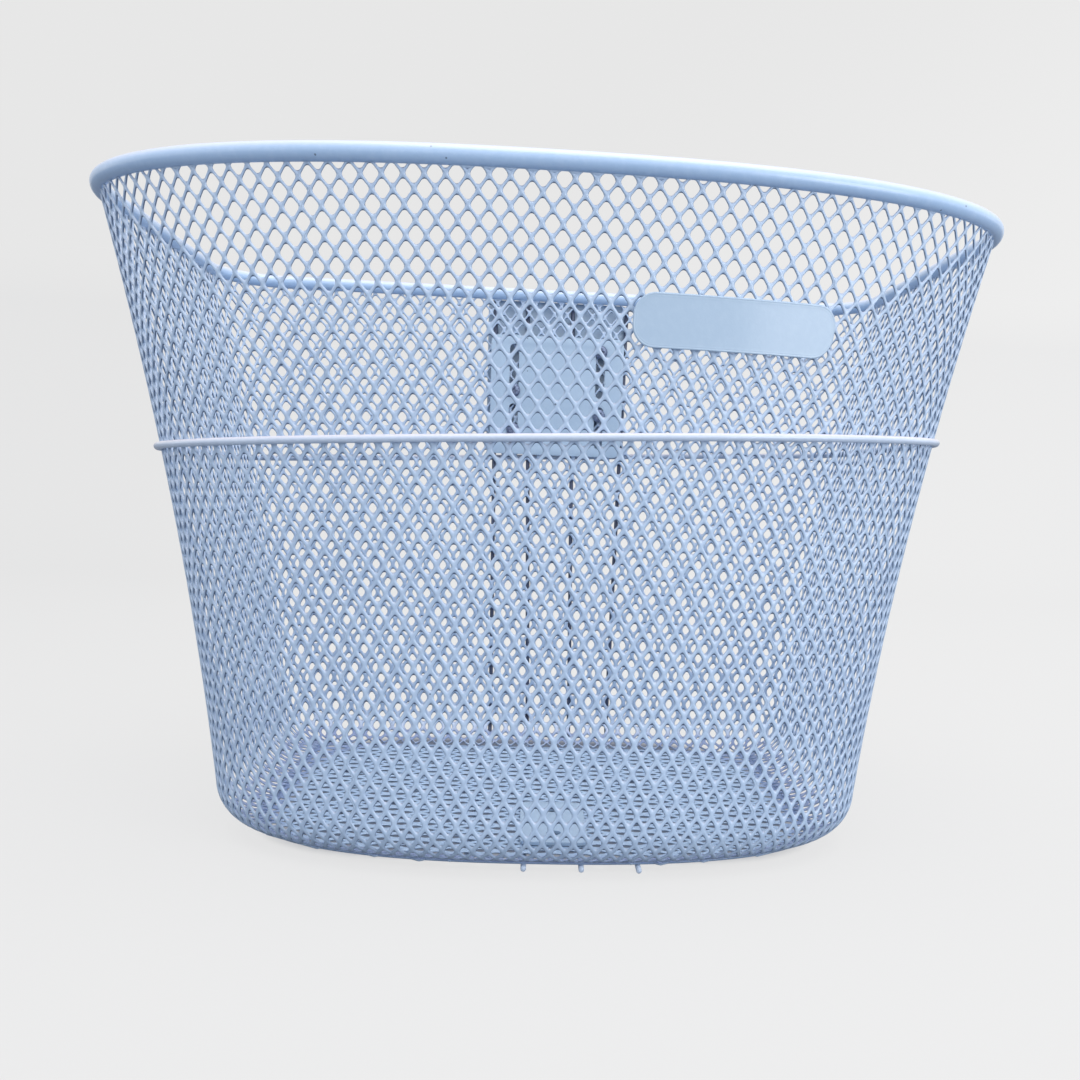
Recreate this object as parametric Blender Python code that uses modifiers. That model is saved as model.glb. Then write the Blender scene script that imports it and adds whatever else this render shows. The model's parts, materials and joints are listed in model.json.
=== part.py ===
"""Wire bicycle basket: expanded-metal wall and floor under a rolled rim, with its bracket plates.

Metres, +Z up. +X runs along the wide side, -Y is the front (rounded) and +Y the back, which is
flat and upright and hangs on the bicycle. The origin lies under the middle of the whole assembly,
on the surface that the basket stands on. Run it with: blender --background --python part.py
"""
import math

import bmesh
import bpy
from mathutils import Vector

# Clearances
GAP = 0.0003                       # between neighbouring pieces that touch on the real basket
SCREW_CLEARANCE = 0.0003           # between a screw's shank and any hole round it

# Top outline, on the centre line of the rolled rim
RIM_HALF_WIDTH = 0.1715
RIM_FRONT_DEPTH = 0.0883           # from the widest line to the front
RIM_BACK_DEPTH = 0.1647            # from the widest line to the flat back
RIM_CORNER_RADIUS = 0.033          # of the two back corners
RIM_TUBE_D = 0.0069
RIM_HEIGHT = 0.2513                # centre line of the rolled rim above the ground
FRONT_ROUNDNESS_share = 2.4        # exponent of the bowed front: 2 is an ellipse, more is squarer

# Wall and floor sheets
SHEET_T = 0.0012                   # thickness of the expanded metal with its paint
WALL_BULGE_share = 0.46            # how far the sides swell past a straight taper
FOOT_HALF_WIDTH = 0.1393           # outline where the wall starts to turn in
FOOT_SHIFT = 0.0151                # its widest line lies this far behind the rim's
FOOT_FRONT_DEPTH = 0.0822
TURN_RADIUS = 0.0178               # of the turn from wall to floor
SEAM_WIDTH = 0.005                 # wall's flange that lies on the floor sheet
SEAM_INNER_RADIUS = 0.0023         # back corners of the flange's inner edge
WALL_COLUMNS = 25                  # diamonds round the wall, coarser than the real net
WALL_LEVELS = 8                    # half rows of diamonds down the wall
WALL_STRAND = 0.0030
FLOOR_CELL_LONG = 0.054            # a floor diamond, left to right
FLOOR_CELL_SHORT = 0.038           # a floor diamond, front to back
FLOOR_STRAND = 0.0030

# Wires
RING_WIRE_D = 0.0030
RING_SLANT_share = 0.046           # ring's rise towards +X, for each unit across
REAR_WIRE_D = 0.0022
REAR_WIRE_TOPS = (-0.0285, -0.0112, 0.0134, 0.0430)  # across, just under the rim
REAR_WIRE_FEET = (-0.0270, -0.0055, 0.0188, 0.0410)  # across, where they turn under the floor
REAR_WIRE_ENDS = (-0.0299, -0.0069, 0.0161, 0.0391)  # across, at the front of the floor
REAR_WIRE_STUB = 0.0030            # cut ends showing past the floor's front edge

# Bracket set at the back, a little to +X of the middle
BRACKET_X = 0.0058
PLATE_CORNER_RADIUS = 0.004
INNER_PLATE_WIDTH = 0.0725
INNER_PLATE_T = 0.0015
INNER_PLATE_HEM = 0.0045           # metal under and over the slots
SLOT_WIDTH = 0.0050
UPPER_SLOT_LENGTH = 0.0270
LOWER_SLOT_LENGTH = 0.0225
SLOT_BRIDGE = 0.0045               # metal between an upper and a lower slot
BRACKET_DROP = 0.0213              # from the rim's centre line to the inner plate's top edge
SCREW_X = 0.0236                   # from the plates' middle to each column of screws
OUTER_PLATE_WIDTH = 0.0765
OUTER_PLATE_T = 0.0020
OUTER_PLATE_RING_CLEARANCE = 0.0015  # from its lower edge to the ring wire that passes under it
BRACKET_GRIP = 0.0025              # left open behind the outer plate for the bicycle's own bracket
UPPER_LEFT_TRAVEL_share = -1.0     # each screw's place in its slot, from -1 to 1
UPPER_RIGHT_TRAVEL_share = 1.0
LOWER_LEFT_TRAVEL_share = -0.3
LOWER_RIGHT_TRAVEL_share = 0.75

# Screws, washers and nuts
SHANK_D = 0.0040
HEAD_D = 0.0070
HEAD_H = 0.0022
WASHER_D = 0.0090
WASHER_T = 0.0008
NUT_FLATS = 0.0070
NUT_T = 0.0032
SHANK_END = 0.0015                 # thread standing out of the nut
SHANK_CHAMFER = 0.0005

# Name plate, left blank, on the front wall
NAME_PLATE_X = 0.0585
NAME_PLATE_DROP = 0.0450           # from the rim's centre line to its middle
NAME_PLATE_LENGTH = 0.0715
NAME_PLATE_WIDTH = 0.0175
NAME_PLATE_T = 0.0012
NAME_PLATE_LIP = 0.0009            # width of its raised edge
NAME_PLATE_LIP_H = 0.0004

# Plate on the basket's floor
FLOOR_PLATE_WIDTH = 0.0285
FLOOR_PLATE_LENGTH = 0.0600
FLOOR_PLATE_T = 0.0015
FLOOR_PLATE_Y = -0.0012            # its middle, from the rim's widest line
FLOOR_PLATE_HOLE_D = 0.0062
FLOOR_PLATE_HOLE_PITCH = 0.0338

# Counts of steps
LOOP_STEPS = 480
RIM_STEPS = 120
ARC_STEPS = 8
TURN_STEPS = 3
ROUND_STEPS = 20
NAME_PLATE_STRIPS = 12

# Heights and depths worked out from the sizes above
FLOOR_Z = REAR_WIRE_D + GAP + SHEET_T / 2
SEAM_Z = FLOOR_Z + SHEET_T + GAP
FOOT_Z = SEAM_Z + TURN_RADIUS
FOOT_DROP = RIM_HEIGHT - FOOT_Z
WALL_TOP = RIM_TUBE_D / 2 + GAP
TURN_LENGTH = TURN_RADIUS * math.pi / 2
WALL_END = FOOT_DROP + TURN_LENGTH + SEAM_WIDTH
FOOT_CORNER_RADIUS = TURN_RADIUS + SEAM_WIDTH + SEAM_INNER_RADIUS
WIRE_OFFSET = SHEET_T / 2 + GAP + REAR_WIRE_D / 2
RING_OFFSET = SHEET_T / 2 + GAP + RING_WIRE_D / 2
OUTER_PLATE_OFFSET = WIRE_OFFSET + REAR_WIRE_D / 2 + GAP + OUTER_PLATE_T / 2
INNER_PLATE_OFFSET = SHEET_T / 2 + GAP + INNER_PLATE_T / 2
HEAD_OFFSET = INNER_PLATE_OFFSET + INNER_PLATE_T / 2 + GAP
WASHER_OFFSET = OUTER_PLATE_OFFSET + OUTER_PLATE_T / 2 + BRACKET_GRIP + WASHER_T / 2
NUT_OFFSET = WASHER_OFFSET + WASHER_T / 2 + GAP + NUT_T / 2
SHANK_REACH = NUT_OFFSET + NUT_T / 2 + SHANK_END
FRONT_EDGE = -(RIM_FRONT_DEPTH + RIM_TUBE_D / 2)
BACK_EDGE = RIM_BACK_DEPTH + SHANK_REACH
ORIGIN_SHIFT = -(FRONT_EDGE + BACK_EDGE) / 2
INNER_PLATE_HEAD = RIM_HEIGHT - BRACKET_DROP
UPPER_SLOT_Z = INNER_PLATE_HEAD - INNER_PLATE_HEM - UPPER_SLOT_LENGTH / 2
LOWER_SLOT_HEAD = UPPER_SLOT_Z - UPPER_SLOT_LENGTH / 2 - SLOT_BRIDGE
LOWER_SLOT_Z = LOWER_SLOT_HEAD - LOWER_SLOT_LENGTH / 2
LOWER_SLOT_FOOT = LOWER_SLOT_HEAD - LOWER_SLOT_LENGTH
RING_RISE_AT_BRACKET = RING_SLANT_share * (BRACKET_X + OUTER_PLATE_WIDTH / 2)
RING_HEIGHT = LOWER_SLOT_FOOT - OUTER_PLATE_RING_CLEARANCE - RING_WIRE_D / 2 - RING_RISE_AT_BRACKET


def start_scene():
    """Empty the file and return the collections for the pieces and for the cutters."""
    for old in list(bpy.data.objects):
        bpy.data.objects.remove(old, do_unlink=True)
    pieces = bpy.data.collections.new("wire_bicycle_basket")
    cutters = bpy.data.collections.new("cutters")
    bpy.context.scene.collection.children.link(pieces)
    bpy.context.scene.collection.children.link(cutters)
    return pieces, cutters


PIECES, CUTTERS = start_scene()
ORIGIN = bpy.data.objects.new("basket_origin", None)
ORIGIN.location = (0, ORIGIN_SHIFT, 0)
PIECES.objects.link(ORIGIN)


def paint(name, colour, roughness, metallic):
    """A Principled material."""
    material = bpy.data.materials.new(name)
    material.use_nodes = True
    shader = material.node_tree.nodes["Principled BSDF"]
    shader.inputs["Base Color"].default_value = (*colour, 1)
    shader.inputs["Roughness"].default_value = roughness
    shader.inputs["Metallic"].default_value = metallic
    return material


def place(obj, finish, collection=None):
    """Link an object, hang it on the origin and give it a material of its own."""
    (collection or PIECES).objects.link(obj)
    obj.parent = ORIGIN
    if finish:
        colour, roughness, metallic = finish
        obj.data.materials.append(paint(obj.name + "_finish", colour, roughness, metallic))
    return obj


BLUE_PAINT = ((0.46, 0.62, 0.84), 0.38, 0.0)
PLATE_PAINT = ((0.44, 0.60, 0.82), 0.34, 0.0)
WIRE_COAT = ((0.10, 0.13, 0.24), 0.40, 0.3)
SCREW_ZINC = ((0.55, 0.58, 0.64), 0.32, 0.9)


def half_outline(half_width, front_depth, back_depth, corner_radius):
    """The +X half of an outline seen from above, from the middle of the back to the front."""
    points = [Vector((0, back_depth))]
    quarter = math.pi / 2
    for step in range(ROUND_STEPS + 1):
        angle = quarter * (1 - step / ROUND_STEPS)
        points.append(Vector((half_width - corner_radius + corner_radius * math.cos(angle),
                              back_depth - corner_radius + corner_radius * math.sin(angle))))
    power = 2 / FRONT_ROUNDNESS_share
    for step in range(4 * ROUND_STEPS + 1):
        angle = quarter * step / (4 * ROUND_STEPS)
        across = max(math.cos(angle), 0) ** power
        points.append(Vector((half_width * across, -front_depth * math.sin(angle) ** power)))
    return points


def even_steps(points, count):
    """Points at equal distances along a line of points, both ends included."""
    reach = [0]
    for first, second in zip(points, points[1:]):
        reach.append(reach[-1] + (second - first).length)
    spaced = []
    place_now = 0
    for step in range(count + 1):
        target = reach[-1] * step / count
        while place_now < len(points) - 2 and reach[place_now + 1] < target:
            place_now += 1
        stretch = reach[place_now + 1] - reach[place_now]
        share = (target - reach[place_now]) / stretch if stretch else 0
        spaced.append(points[place_now].lerp(points[place_now + 1], min(share, 1)))
    return spaced, reach[-1]


def outline_loop(half_width, front_depth, back_depth, corner_radius, centre_y):
    """A whole outline as LOOP_STEPS points, from the middle of the back round by +X."""
    half, length = even_steps(
        half_outline(half_width, front_depth, back_depth, corner_radius), LOOP_STEPS // 2)
    other = [Vector((-point.x, point.y)) for point in reversed(half[1:-1])]
    shift = Vector((0, centre_y))
    return [point + shift for point in half + other], 2 * length


RIM_LOOP, RIM_LENGTH = outline_loop(
    RIM_HALF_WIDTH, RIM_FRONT_DEPTH, RIM_BACK_DEPTH, RIM_CORNER_RADIUS, 0)
FOOT_LOOP, FOOT_LENGTH = outline_loop(
    FOOT_HALF_WIDTH, FOOT_FRONT_DEPTH, RIM_BACK_DEPTH - FOOT_SHIFT, FOOT_CORNER_RADIUS, FOOT_SHIFT)


def on_loop(loop, turn):
    """The point at a share of the way round a loop."""
    place_now = (turn % 1) * LOOP_STEPS
    first = int(place_now) % LOOP_STEPS
    return loop[first].lerp(loop[(first + 1) % LOOP_STEPS], place_now - int(place_now))


def inward(loop, turn):
    """The level direction that points into a loop."""
    step = 1 / LOOP_STEPS
    along = on_loop(loop, turn + step) - on_loop(loop, turn - step)
    return Vector((along.y, -along.x)).normalized()


def wall_point(turn, drop):
    """The middle of the wall sheet, a share of the way round and a length down from the rim."""
    if drop <= FOOT_DROP:
        share = drop / FOOT_DROP
        taper = share + WALL_BULGE_share * share * (1 - share)
        flat = on_loop(RIM_LOOP, turn).lerp(on_loop(FOOT_LOOP, turn), taper)
        return Vector((flat.x, flat.y, RIM_HEIGHT - drop))
    bend = min((drop - FOOT_DROP) / TURN_RADIUS, math.pi / 2)
    flange = max(drop - FOOT_DROP - TURN_LENGTH, 0)
    inset = TURN_RADIUS * (1 - math.cos(bend)) + flange
    flat = on_loop(FOOT_LOOP, turn) + inward(FOOT_LOOP, turn) * inset
    return Vector((flat.x, flat.y, FOOT_Z - TURN_RADIUS * math.sin(bend)))


def wall_normal(turn, drop):
    """The direction out of the wall."""
    turn_step = 1 / LOOP_STEPS
    drop_step = FOOT_DROP / LOOP_STEPS
    across = wall_point(turn + turn_step, drop) - wall_point(turn - turn_step, drop)
    down = wall_point(turn, drop + drop_step) - wall_point(turn, drop - drop_step)
    return across.cross(down).normalized()


def mesh_object(name, shape, finish, collection=None):
    """An object from a bmesh, which it frees."""
    mesh = bpy.data.meshes.new(name)
    shape.to_mesh(mesh)
    shape.free()
    return place(bpy.data.objects.new(name, mesh), finish, collection)


def wire(name, points, diameter, finish, closed, resolution):
    """A round wire along points."""
    path = bpy.data.curves.new(name, "CURVE")
    path.dimensions = "3D"
    path.fill_mode = "FULL"
    path.bevel_depth = diameter / 2
    path.bevel_resolution = resolution
    path.use_fill_caps = not closed
    line = path.splines.new("POLY")
    line.points.add(len(points) - 1)
    for point, target in zip(line.points, points):
        point.co = (*target, 1)
    line.use_cyclic_u = closed
    line.use_smooth = True
    return place(bpy.data.objects.new(name, path), finish)


def flat_piece(name, contours, thickness, finish):
    """A flat piece of sheet: the first contour is its outline, the others are its holes."""
    sheet = bpy.data.curves.new(name, "CURVE")
    sheet.dimensions = "2D"
    sheet.fill_mode = "BOTH"
    sheet.extrude = thickness / 2
    for contour in contours:
        line = sheet.splines.new("POLY")
        line.points.add(len(contour) - 1)
        for point, (across, up) in zip(line.points, contour):
            point.co = (across, up, 0, 1)
        line.use_cyclic_u = True
    return place(bpy.data.objects.new(name, sheet), finish)


def rounded_box(width, height, radius, centre=(0, 0)):
    """The outline of a box with rounded corners; with a radius of half its width, a slot."""
    points = []
    for corner, (side, top) in enumerate(((1, 1), (-1, 1), (-1, -1), (1, -1))):
        for step in range(ARC_STEPS + 1):
            angle = math.pi / 2 * (corner + step / ARC_STEPS)
            points.append((centre[0] + side * (width / 2 - radius) + radius * math.cos(angle),
                           centre[1] + top * (height / 2 - radius) + radius * math.sin(angle)))
    return points


def circle(diameter, centre=(0, 0), sides=ROUND_STEPS):
    """A round outline."""
    turn = 2 * math.pi / sides
    return [(centre[0] + diameter / 2 * math.cos(turn * step),
             centre[1] + diameter / 2 * math.sin(turn * step)) for step in range(sides)]


# Places of the four screws on the back wall, as (across from the bracket's middle, height)
UPPER_TRAVEL = (UPPER_SLOT_LENGTH - SLOT_WIDTH) / 2
LOWER_TRAVEL = (LOWER_SLOT_LENGTH - SLOT_WIDTH) / 2
SCREW_PLACES = (
    (-SCREW_X, UPPER_SLOT_Z + UPPER_LEFT_TRAVEL_share * UPPER_TRAVEL),
    (SCREW_X, UPPER_SLOT_Z + UPPER_RIGHT_TRAVEL_share * UPPER_TRAVEL),
    (-SCREW_X, LOWER_SLOT_Z + LOWER_LEFT_TRAVEL_share * LOWER_TRAVEL),
    (SCREW_X, LOWER_SLOT_Z + LOWER_RIGHT_TRAVEL_share * LOWER_TRAVEL),
)
SHANK_HOLE_D = SHANK_D + 2 * SCREW_CLEARANCE


def rim():
    """The wall's top edge, rolled into a tube round a wire."""
    points = [(*on_loop(RIM_LOOP, step / RIM_STEPS), RIM_HEIGHT) for step in range(RIM_STEPS)]
    return wire("rim_tube", points, RIM_TUBE_D, BLUE_PAINT, True, 3)


def open_diamonds(shape, strand):
    """Turn each face of a flat net into an opening inside a border of half a strand."""
    shape.normal_update()
    cells = shape.faces[:]
    bmesh.ops.inset_individual(shape, faces=cells, thickness=strand / 2, use_even_offset=True)
    bmesh.ops.delete(shape, geom=cells, context="FACES")


def diamond_net(columns, levels, column_width, level_height):
    """A flat sheet of diamond faces, with half diamonds along its top and bottom edges."""
    shape = bmesh.new()
    corners = {}

    def corner(half_column, level):
        key = (half_column, level)
        if key not in corners:
            corners[key] = shape.verts.new(
                (half_column * column_width / 2, level * level_height, 0))
        return corners[key]

    for level in range(levels + 1):
        for column in range(columns):
            middle = 2 * column + (1 - level % 2)
            ring = [(middle - 1, level), (middle, level + 1), (middle + 1, level), (middle, level - 1)]
            shape.faces.new([corner(*key) for key in ring if 0 <= key[1] <= levels])
    return shape


def wall():
    """Expanded-metal side wall: a diamond net bent round the outline and turned in at its foot."""
    column_width = RIM_LENGTH / WALL_COLUMNS
    level_height = (WALL_END - WALL_TOP) / WALL_LEVELS
    shape = diamond_net(WALL_COLUMNS, WALL_LEVELS, column_width, level_height)
    open_diamonds(shape, WALL_STRAND)
    turn_lines = [FOOT_DROP + TURN_LENGTH * step / TURN_STEPS for step in range(TURN_STEPS + 1)]
    for line in turn_lines:
        everything = shape.verts[:] + shape.edges[:] + shape.faces[:]
        bmesh.ops.bisect_plane(shape, geom=everything, dist=GAP / 10,
                               plane_co=(0, line - WALL_TOP, 0), plane_no=(0, 1, 0))
    for vertex in shape.verts:
        vertex.co = wall_point(vertex.co.x / RIM_LENGTH, vertex.co.y + WALL_TOP)
    bmesh.ops.remove_doubles(shape, verts=shape.verts, dist=GAP / 10)
    bmesh.ops.recalc_face_normals(shape, faces=shape.faces)
    obj = mesh_object("wall_mesh", shape, BLUE_PAINT)
    thicken(obj, SHEET_T)
    for number, (across, height) in enumerate(SCREW_PLACES, 1):
        if strand_distance(BRACKET_X + across, height) < (SHANK_HOLE_D + WALL_STRAND) / 2 - GAP:
            cut(obj, round_cutter(f"wall_hole_{number}", BRACKET_X + across, height))
    return obj


def thicken(obj, thickness):
    """Give a sheet its thickness, half to each side."""
    solidify = obj.modifiers.new("thickness", "SOLIDIFY")
    solidify.thickness = thickness
    solidify.offset = 0
    solidify.use_even_offset = True


def cut(obj, cutter):
    """Subtract a cutter."""
    boolean = obj.modifiers.new(cutter.name, "BOOLEAN")
    boolean.operation = "DIFFERENCE"
    boolean.solver = "EXACT"
    boolean.object = cutter


def strand_distance(across, height):
    """Distance from a place on the back wall to the middle of the nearest strand of the net."""
    drop = RIM_HEIGHT - height
    share = drop / FOOT_DROP
    taper = share + WALL_BULGE_share * share * (1 - share)
    column = across / (RIM_LENGTH * (1 - taper) + FOOT_LENGTH * taper) * WALL_COLUMNS
    column_width = RIM_LENGTH / WALL_COLUMNS
    level_height = (WALL_END - WALL_TOP) / WALL_LEVELS
    level = (drop - WALL_TOP) / level_height / 2
    slope = level_height / math.hypot(column_width / 2, level_height)
    nearest = []
    for line in (column + level, column - level):
        nearest.append(abs(line - round(line)) * column_width * slope)
    return min(nearest)


def round_cutter(name, across, height):
    """A round bar through the back wall, where a strand would cross a screw."""
    bpy.ops.mesh.primitive_cylinder_add(
        vertices=ROUND_STEPS, radius=SHANK_HOLE_D / 2, depth=SHANK_REACH * 2)
    cutter = bpy.context.active_object
    cutter.name = name
    for owner in list(cutter.users_collection):
        owner.objects.unlink(cutter)
    place(cutter, None, CUTTERS)
    cutter.location = (across, RIM_BACK_DEPTH, height)
    cutter.rotation_euler = (math.pi / 2, 0, 0)
    cutter.hide_render = True
    cutter.display_type = "WIRE"
    return cutter


def clipped(polygon, first, second):
    """The part of a convex outline that lies to the right of a line."""
    side = [(second - first).cross(point - first) for point in polygon]
    kept = []
    for number, point in enumerate(polygon):
        before = polygon[number - 1]
        if side[number - 1] * side[number] < 0:
            share = side[number - 1] / (side[number - 1] - side[number])
            kept.append(before.lerp(point, share))
        if side[number] <= 0:
            kept.append(point)
    return kept


def outline_area(points):
    """The area inside an outline."""
    return abs(sum(points[number - 1].cross(point) for number, point in enumerate(points))) / 2


def floor_outline(border):
    """The floor's outline, or a line a border's width inside it."""
    points = []
    for step in range(RIM_STEPS):
        turn = step / RIM_STEPS
        points.append(on_loop(FOOT_LOOP, turn) + inward(FOOT_LOOP, turn) * (TURN_RADIUS + border))
    return points


def floor_sheet():
    """Expanded-metal floor: diamonds that lie across the basket, trimmed at the floor's edge."""
    across = FLOOR_CELL_LONG / 2
    along = FLOOR_CELL_SHORT / 2
    opening = 1 - FLOOR_STRAND / 2 * math.hypot(across, along) / (across * along)
    edge = floor_outline(FLOOR_STRAND)
    contours = [floor_outline(0)]
    columns = math.ceil(FOOT_HALF_WIDTH / across)
    rows = math.ceil(RIM_BACK_DEPTH / along)
    for column in range(-columns, columns + 1):
        for row in range(-rows, rows + 1):
            if (column + row) % 2:
                continue
            middle = Vector((column * across, FOOT_SHIFT + row * along))
            cell = [middle + Vector((across * opening, 0)), middle + Vector((0, along * opening)),
                    middle - Vector((across * opening, 0)), middle - Vector((0, along * opening))]
            for number, point in enumerate(edge):
                cell = clipped(cell, edge[number - 1], point)
            cell = [point for number, point in enumerate(cell) if (point - cell[number - 1]).length > GAP]
            if len(cell) > 2 and outline_area(cell) > FLOOR_STRAND * FLOOR_STRAND:
                contours.append(cell)
    obj = flat_piece("floor_mesh", contours, SHEET_T, BLUE_PAINT)
    obj.location = (0, 0, FLOOR_Z)
    return obj


def ring_wire():
    """The wire round the outside of the wall; at the back it passes over the upright wires."""
    points = []
    for step in range(RIM_STEPS):
        turn = step / RIM_STEPS
        level = wall_point(turn, RIM_HEIGHT - RING_HEIGHT)
        drop = RIM_HEIGHT - RING_HEIGHT - RING_SLANT_share * level.x
        point = wall_point(turn, drop) + wall_normal(turn, drop) * RING_OFFSET
        back_share = max(level.y / RIM_BACK_DEPTH, 0) ** 2
        points.append(point + Vector((0, (REAR_WIRE_D + GAP) * back_share, 0)))
    return wire("ring_wire", points, RING_WIRE_D, BLUE_PAINT, True, 2)


def rear_wires():
    """Wires that run down behind the back wall and forward under the floor."""
    radius = TURN_RADIUS + WIRE_OFFSET
    back = RIM_BACK_DEPTH + WIRE_OFFSET
    front = FOOT_SHIFT - FOOT_FRONT_DEPTH + TURN_RADIUS - REAR_WIRE_STUB
    low = REAR_WIRE_D / 2
    for number, (top, foot, end) in enumerate(zip(REAR_WIRE_TOPS, REAR_WIRE_FEET, REAR_WIRE_ENDS), 1):
        points = [(top, back, RIM_HEIGHT - WALL_TOP)]
        for step in range(ARC_STEPS + 1):
            angle = math.pi / 2 * step / ARC_STEPS
            points.append((foot, back - radius * (1 - math.cos(angle)),
                           FOOT_Z - (FOOT_Z - low) * math.sin(angle)))
        points.append((end, front, low))
        wire(f"rear_wire_{number}", points, REAR_WIRE_D, WIRE_COAT, False, 2)


def clamp_plates():
    """The two plates that clamp the back wall: slotted inside, drilled outside."""
    foot = LOWER_SLOT_FOOT - INNER_PLATE_HEM
    middle = (foot + INNER_PLATE_HEAD) / 2
    contours = [rounded_box(INNER_PLATE_WIDTH, INNER_PLATE_HEAD - foot, PLATE_CORNER_RADIUS)]
    for side in (-1, 1):
        for height, length in ((UPPER_SLOT_Z, UPPER_SLOT_LENGTH), (LOWER_SLOT_Z, LOWER_SLOT_LENGTH)):
            contours.append(rounded_box(
                SLOT_WIDTH, length, SLOT_WIDTH / 2, (side * SCREW_X, height - middle)))
    inner = flat_piece("inner_plate", contours, INNER_PLATE_T, PLATE_PAINT)
    inner.location = (BRACKET_X, RIM_BACK_DEPTH - INNER_PLATE_OFFSET, middle)
    inner.rotation_euler = (math.pi / 2, 0, 0)

    head = RIM_HEIGHT - WALL_TOP
    middle = (LOWER_SLOT_FOOT + head) / 2
    contours = [rounded_box(OUTER_PLATE_WIDTH, head - LOWER_SLOT_FOOT, PLATE_CORNER_RADIUS)]
    contours += [circle(SHANK_HOLE_D, (across, height - middle)) for across, height in SCREW_PLACES]
    outer = flat_piece("outer_plate", contours, OUTER_PLATE_T, PLATE_PAINT)
    outer.location = (BRACKET_X, RIM_BACK_DEPTH + OUTER_PLATE_OFFSET, middle)
    outer.rotation_euler = (math.pi / 2, 0, 0)


def screw(name):
    """A pan-head screw as a turned profile; its head points up +Z, and its seat is at zero."""
    head = HEAD_D / 2
    shank = SHANK_D / 2
    tip = -(HEAD_OFFSET + SHANK_REACH)
    profile = [(0, HEAD_H)]
    for step in range(1, ARC_STEPS // 2 + 1):
        angle = math.pi / 2 * step / (ARC_STEPS // 2)
        profile.append((head * math.sin(angle), HEAD_H / 2 * (1 + math.cos(angle))))
    profile += [(head, 0), (shank, 0), (shank, tip + SHANK_CHAMFER), (shank - SHANK_CHAMFER, tip), (0, tip)]
    shape = bmesh.new()
    line = [shape.verts.new((across, 0, up)) for across, up in profile]
    for first, second in zip(line, line[1:]):
        shape.edges.new((first, second))
    obj = mesh_object(name, shape, SCREW_ZINC)
    turned = obj.modifiers.new("turned", "SCREW")
    turned.axis = "Z"
    turned.angle = 2 * math.pi
    turned.steps = ROUND_STEPS
    turned.render_steps = ROUND_STEPS
    turned.use_merge_vertices = True
    turned.merge_threshold = GAP / 10
    turned.use_smooth_shade = True
    return obj


def fasteners():
    """Four screws through the plates, each with a washer and a nut left loose behind them."""
    across_corners = NUT_FLATS / math.cos(math.pi / 6)
    for number, (across, height) in enumerate(SCREW_PLACES, 1):
        centre = BRACKET_X + across
        bolt = screw(f"screw_{number}")
        bolt.location = (centre, RIM_BACK_DEPTH - HEAD_OFFSET, height)
        bolt.rotation_euler = (math.pi / 2, 0, 0)
        washer = flat_piece(
            f"washer_{number}", [circle(WASHER_D), circle(SHANK_HOLE_D)], WASHER_T, SCREW_ZINC)
        washer.location = (centre, RIM_BACK_DEPTH + WASHER_OFFSET, height)
        washer.rotation_euler = (math.pi / 2, 0, 0)
        nut = flat_piece(
            f"nut_{number}", [circle(across_corners, sides=6), circle(SHANK_HOLE_D)], NUT_T, SCREW_ZINC)
        nut.location = (centre, RIM_BACK_DEPTH + NUT_OFFSET, height)
        nut.rotation_euler = (math.pi / 2, 0, 0)


def front_turn(across, drop):
    """The share of the way round at which the front wall passes a place across."""
    low, high = 0.25, 0.5
    for _ in range(LOOP_STEPS // ROUND_STEPS):
        middle = (low + high) / 2
        if wall_point(middle, drop).x > across:
            low = middle
        else:
            high = middle
    return (low + high) / 2


def name_plate():
    """Blank oblong plate with a raised edge, bent to lie on the front wall."""
    shape = bmesh.new()
    outline = rounded_box(NAME_PLATE_LENGTH, NAME_PLATE_WIDTH, NAME_PLATE_WIDTH / 2 - GAP)
    face = shape.faces.new([shape.verts.new((across, up, 0)) for across, up in outline])
    made = bmesh.ops.extrude_face_region(shape, geom=[face])["geom"]
    top = [item for item in made if isinstance(item, bmesh.types.BMFace)][0]
    bmesh.ops.translate(shape, verts=top.verts, vec=(0, 0, NAME_PLATE_T))
    bmesh.ops.inset_region(shape, faces=[top], thickness=NAME_PLATE_LIP, use_even_offset=True)
    bmesh.ops.inset_region(shape, faces=[top], thickness=NAME_PLATE_LIP_H, use_even_offset=True,
                           depth=-NAME_PLATE_LIP_H)
    for step in range(1, NAME_PLATE_STRIPS):
        line = NAME_PLATE_LENGTH * (step / NAME_PLATE_STRIPS - 0.5)
        everything = shape.verts[:] + shape.edges[:] + shape.faces[:]
        bmesh.ops.bisect_plane(shape, geom=everything, dist=GAP / 10,
                               plane_co=(line, 0, 0), plane_no=(1, 0, 0))
    bmesh.ops.recalc_face_normals(shape, faces=shape.faces)
    drop = NAME_PLATE_DROP
    middle = front_turn(NAME_PLATE_X, drop)
    step = 1 / LOOP_STEPS
    length_per_turn = (wall_point(middle + step, drop) - wall_point(middle - step, drop)).length / (2 * step)
    for vertex in shape.verts:
        turn = middle - vertex.co.x / length_per_turn
        here = drop - vertex.co.y
        outset = SHEET_T / 2 + GAP + vertex.co.z
        vertex.co = wall_point(turn, here) + wall_normal(turn, here) * outset
    return mesh_object("name_plate", shape, PLATE_PAINT)


def floor_plate():
    """Plate with two holes, on the floor over the two middle wires."""
    plate = flat_piece(
        "floor_plate",
        [rounded_box(FLOOR_PLATE_WIDTH, FLOOR_PLATE_LENGTH, PLATE_CORNER_RADIUS),
         circle(FLOOR_PLATE_HOLE_D, (0, FLOOR_PLATE_HOLE_PITCH / 2)),
         circle(FLOOR_PLATE_HOLE_D, (0, -FLOOR_PLATE_HOLE_PITCH / 2))],
        FLOOR_PLATE_T, PLATE_PAINT)
    plate.location = (BRACKET_X, FLOOR_PLATE_Y, FLOOR_Z + SHEET_T / 2 + GAP + FLOOR_PLATE_T / 2)
    return plate


rim()
wall()
floor_sheet()
ring_wire()
rear_wires()
clamp_plates()
fasteners()
name_plate()
floor_plate()
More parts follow.
